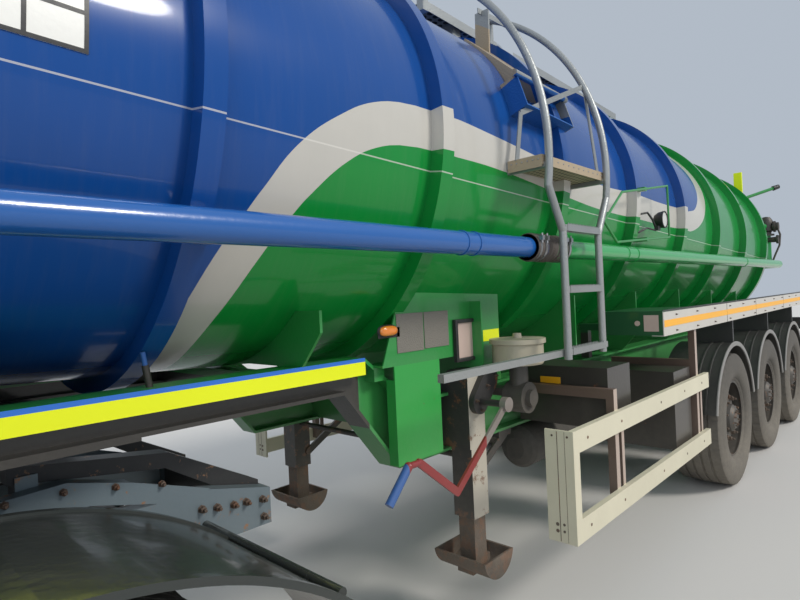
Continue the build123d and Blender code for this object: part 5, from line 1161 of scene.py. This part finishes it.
def swollen(name, low, high):
    # block remeshed to small squares and swelled by pressure, each point held within the swell
    vertices, faces = boxShape(low, high)
    mesh = bpy.data.meshes.new(name)
    mesh.from_pydata(vertices.tolist(), [], faces)
    pad = newObject(name, mesh)
    remesh = pad.modifiers.new("squares", "REMESH")
    remesh.mode = "VOXEL"
    remesh.voxel_size = seatPlan["voxel"]
    depsgraph = bpy.context.evaluated_depsgraph_get()
    squares = bpy.data.meshes.new_from_object(pad.evaluated_get(depsgraph))
    pad.modifiers.clear()
    pad.data = squares
    start = place = pointsOf(squares)
    cloth = pad.modifiers.new("cloth", "CLOTH")
    cloth.settings.use_pressure = True
    cloth.settings.uniform_pressure_force = 4.0
    cloth.settings.effector_weights.gravity = 0.0
    for step in range(1, 21):
        bpy.context.scene.frame_set(step)
    depsgraph = bpy.context.evaluated_depsgraph_get()
    swelled = bpy.data.meshes.new_from_object(pad.evaluated_get(depsgraph))
    place = pointsOf(swelled)
    bpy.context.scene.frame_set(1)
    moved = place - start
    reach = np.linalg.norm(moved, axis=1, keepdims=True)
    place = start + moved * np.minimum(1, seatPlan["swell"] / np.maximum(reach, 1e-6))
    faces = [list(polygon.vertices) for polygon in squares.polygons]
    bpy.data.objects.remove(pad)
    return place, faces


def channelled(place, axis, middle):
    # sewn channels along the seat: points near each seam sink towards the pad's middle
    for seam in seatPlan["channels"]:
        sink = seatPlan["channelDepth"] * np.exp(-((place[:, 1] - seam) / seatPlan["channelWidth"]) ** 2)
        place[:, axis] -= np.sign(place[:, axis] - middle) * sink
    return place


def smoothRounds(place, faces, rounds):
    # each point moves halfway to the mean of its neighbours
    pairs = np.array([(face[i], face[(i + 1) % len(face)]) for face in faces for i in range(len(face))])
    for turn in range(rounds):
        total, count = np.zeros_like(place), np.zeros((len(place), 1))
        np.add.at(total, pairs[:, 0], place[pairs[:, 1]])
        np.add.at(count, pairs[:, 0], 1)
        place = 0.5 * place + 0.5 * total / np.maximum(count, 1)
    return place


cushion, cushionFaces = swollen("cushionStart", *seatPlan["cushion"])
cushion = channelled(smoothRounds(cushion, cushionFaces, 3), 2, 1.53)
cushion[:, 2] = np.maximum(cushion[:, 2], 1.471)
back, backFaces = swollen("backStart", *seatPlan["back"])
back = channelled(smoothRounds(back, backFaces, 3), 0, 0.04)
back[:, 0] += seatPlan["backFoot"] - seatPlan["lean"] * (back[:, 2] - 1.59)
seatPieces = []
for side, way in (("left", 1), ("right", -1)):
    for name, place, faces in (("seatCushion_", cushion, cushionFaces), ("seatBack_", back, backFaces)):
        shape = (place, faces) if way > 0 else mirrored((place, faces))
        pad = makePiece(name + side, [shape], "seat", "tractor", smooth=80)
        finer = pad.modifiers.new("finer", "SUBSURF")
        finer.levels = finer.render_levels = 1
        seatPieces.append(pad)
    frames = [boxShape((rear, way * inner, low), (front, way * outer, high))
              for rear, inner, low, front, outer, high in seatPlan["blocks"]]
    frames += [barShape((5.19, way * y, 1.50), (5.09, way * y, 2.05), 0.05, 0.012) for y in seatPlan["barY"]]
    seatPieces.append(makePiece("seatFrame_" + side, frames, "dash", "tractor", bevel=0.004))
for piece in seatPieces:
    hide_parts("seats")
print("seats padded")

# Floor, light and camera
floorPlan = {"half": 60.0}
half = floorPlan["half"]
mesh = bpy.data.meshes.new("floor")
mesh.from_pydata([(-half, -half, 0), (half, -half, 0), (half, half, 0), (-half, half, 0)], [], [(0, 1, 2, 3)])
floor = newObject("floor", mesh)
floorMaterial, _, floorShader = newMaterial("paleFloor")
setInputs(floorShader, {"Base Color": (0.62, 0.60, 0.57, 1), "Roughness": 0.85})
mesh.materials.append(floorMaterial)

# Strength of each lamp in W/m2: with the world, a lit surface gets a little over pi in all, so that colours
# render about as written
lamps = [
    {"name": "keyLight", "from": (-3.5, 9.5, 7.7), "softness": 14, "strength": 2.1, "colour": (1.0, 0.96, 0.90)},
    {"name": "fillLight", "from": (9.0, 6.0, 4.5), "softness": 60, "strength": 0.6, "colour": (0.90, 0.95, 1.0)},
    {"name": "farLight", "from": (-1.0, -10.0, 8.0), "softness": 60, "strength": 0.6, "colour": (0.95, 0.97, 1.0)},
]
for lamp in lamps:
    light = bpy.data.lights.new(lamp["name"], "SUN")
    light.energy = lamp["strength"]
    light.angle = math.radians(lamp["softness"])
    light.color = lamp["colour"]
    holder = newObject(lamp["name"], light)
    holder.matrix_world = Vector(lamp["from"]).to_track_quat("Z", "Y").to_matrix().to_4x4()

world = bpy.data.worlds.new("studio")
world.use_nodes = True
setInputs(world.node_tree.nodes["Background"], {0: (0.74, 0.83, 0.95, 1), 1: 0.6})
bpy.context.scene.world = world

camera = {"at": (1.866, 2.374, 1.589), "yaw": 46.58, "pitch": -0.126, "roll": -2.65, "focal": 559.4, "width": 800}
yaw, pitch, roll = (math.radians(camera[key]) for key in ("yaw", "pitch", "roll"))
ahead = np.array([-math.sin(yaw) * math.cos(pitch), -math.cos(yaw) * math.cos(pitch), math.sin(pitch)])
right = np.array([-math.cos(yaw), math.sin(yaw), 0.0])
up = np.cross(right, ahead)
right, up = right * math.cos(roll) + up * math.sin(roll), -right * math.sin(roll) + up * math.cos(roll)
lens = bpy.data.cameras.new("photoCamera")
lens.sensor_width = 36.0
lens.lens = camera["focal"] / camera["width"] * lens.sensor_width
lens.clip_start = 0.05
eye = newObject("photoCamera", lens)
turn = Matrix((right, up, -ahead)).transposed()
eye.matrix_world = Matrix.Translation(camera["at"]) @ turn.to_4x4()
bpy.context.scene.camera = eye
bpy.context.scene.view_settings.view_transform = "Standard"
print("stage set")
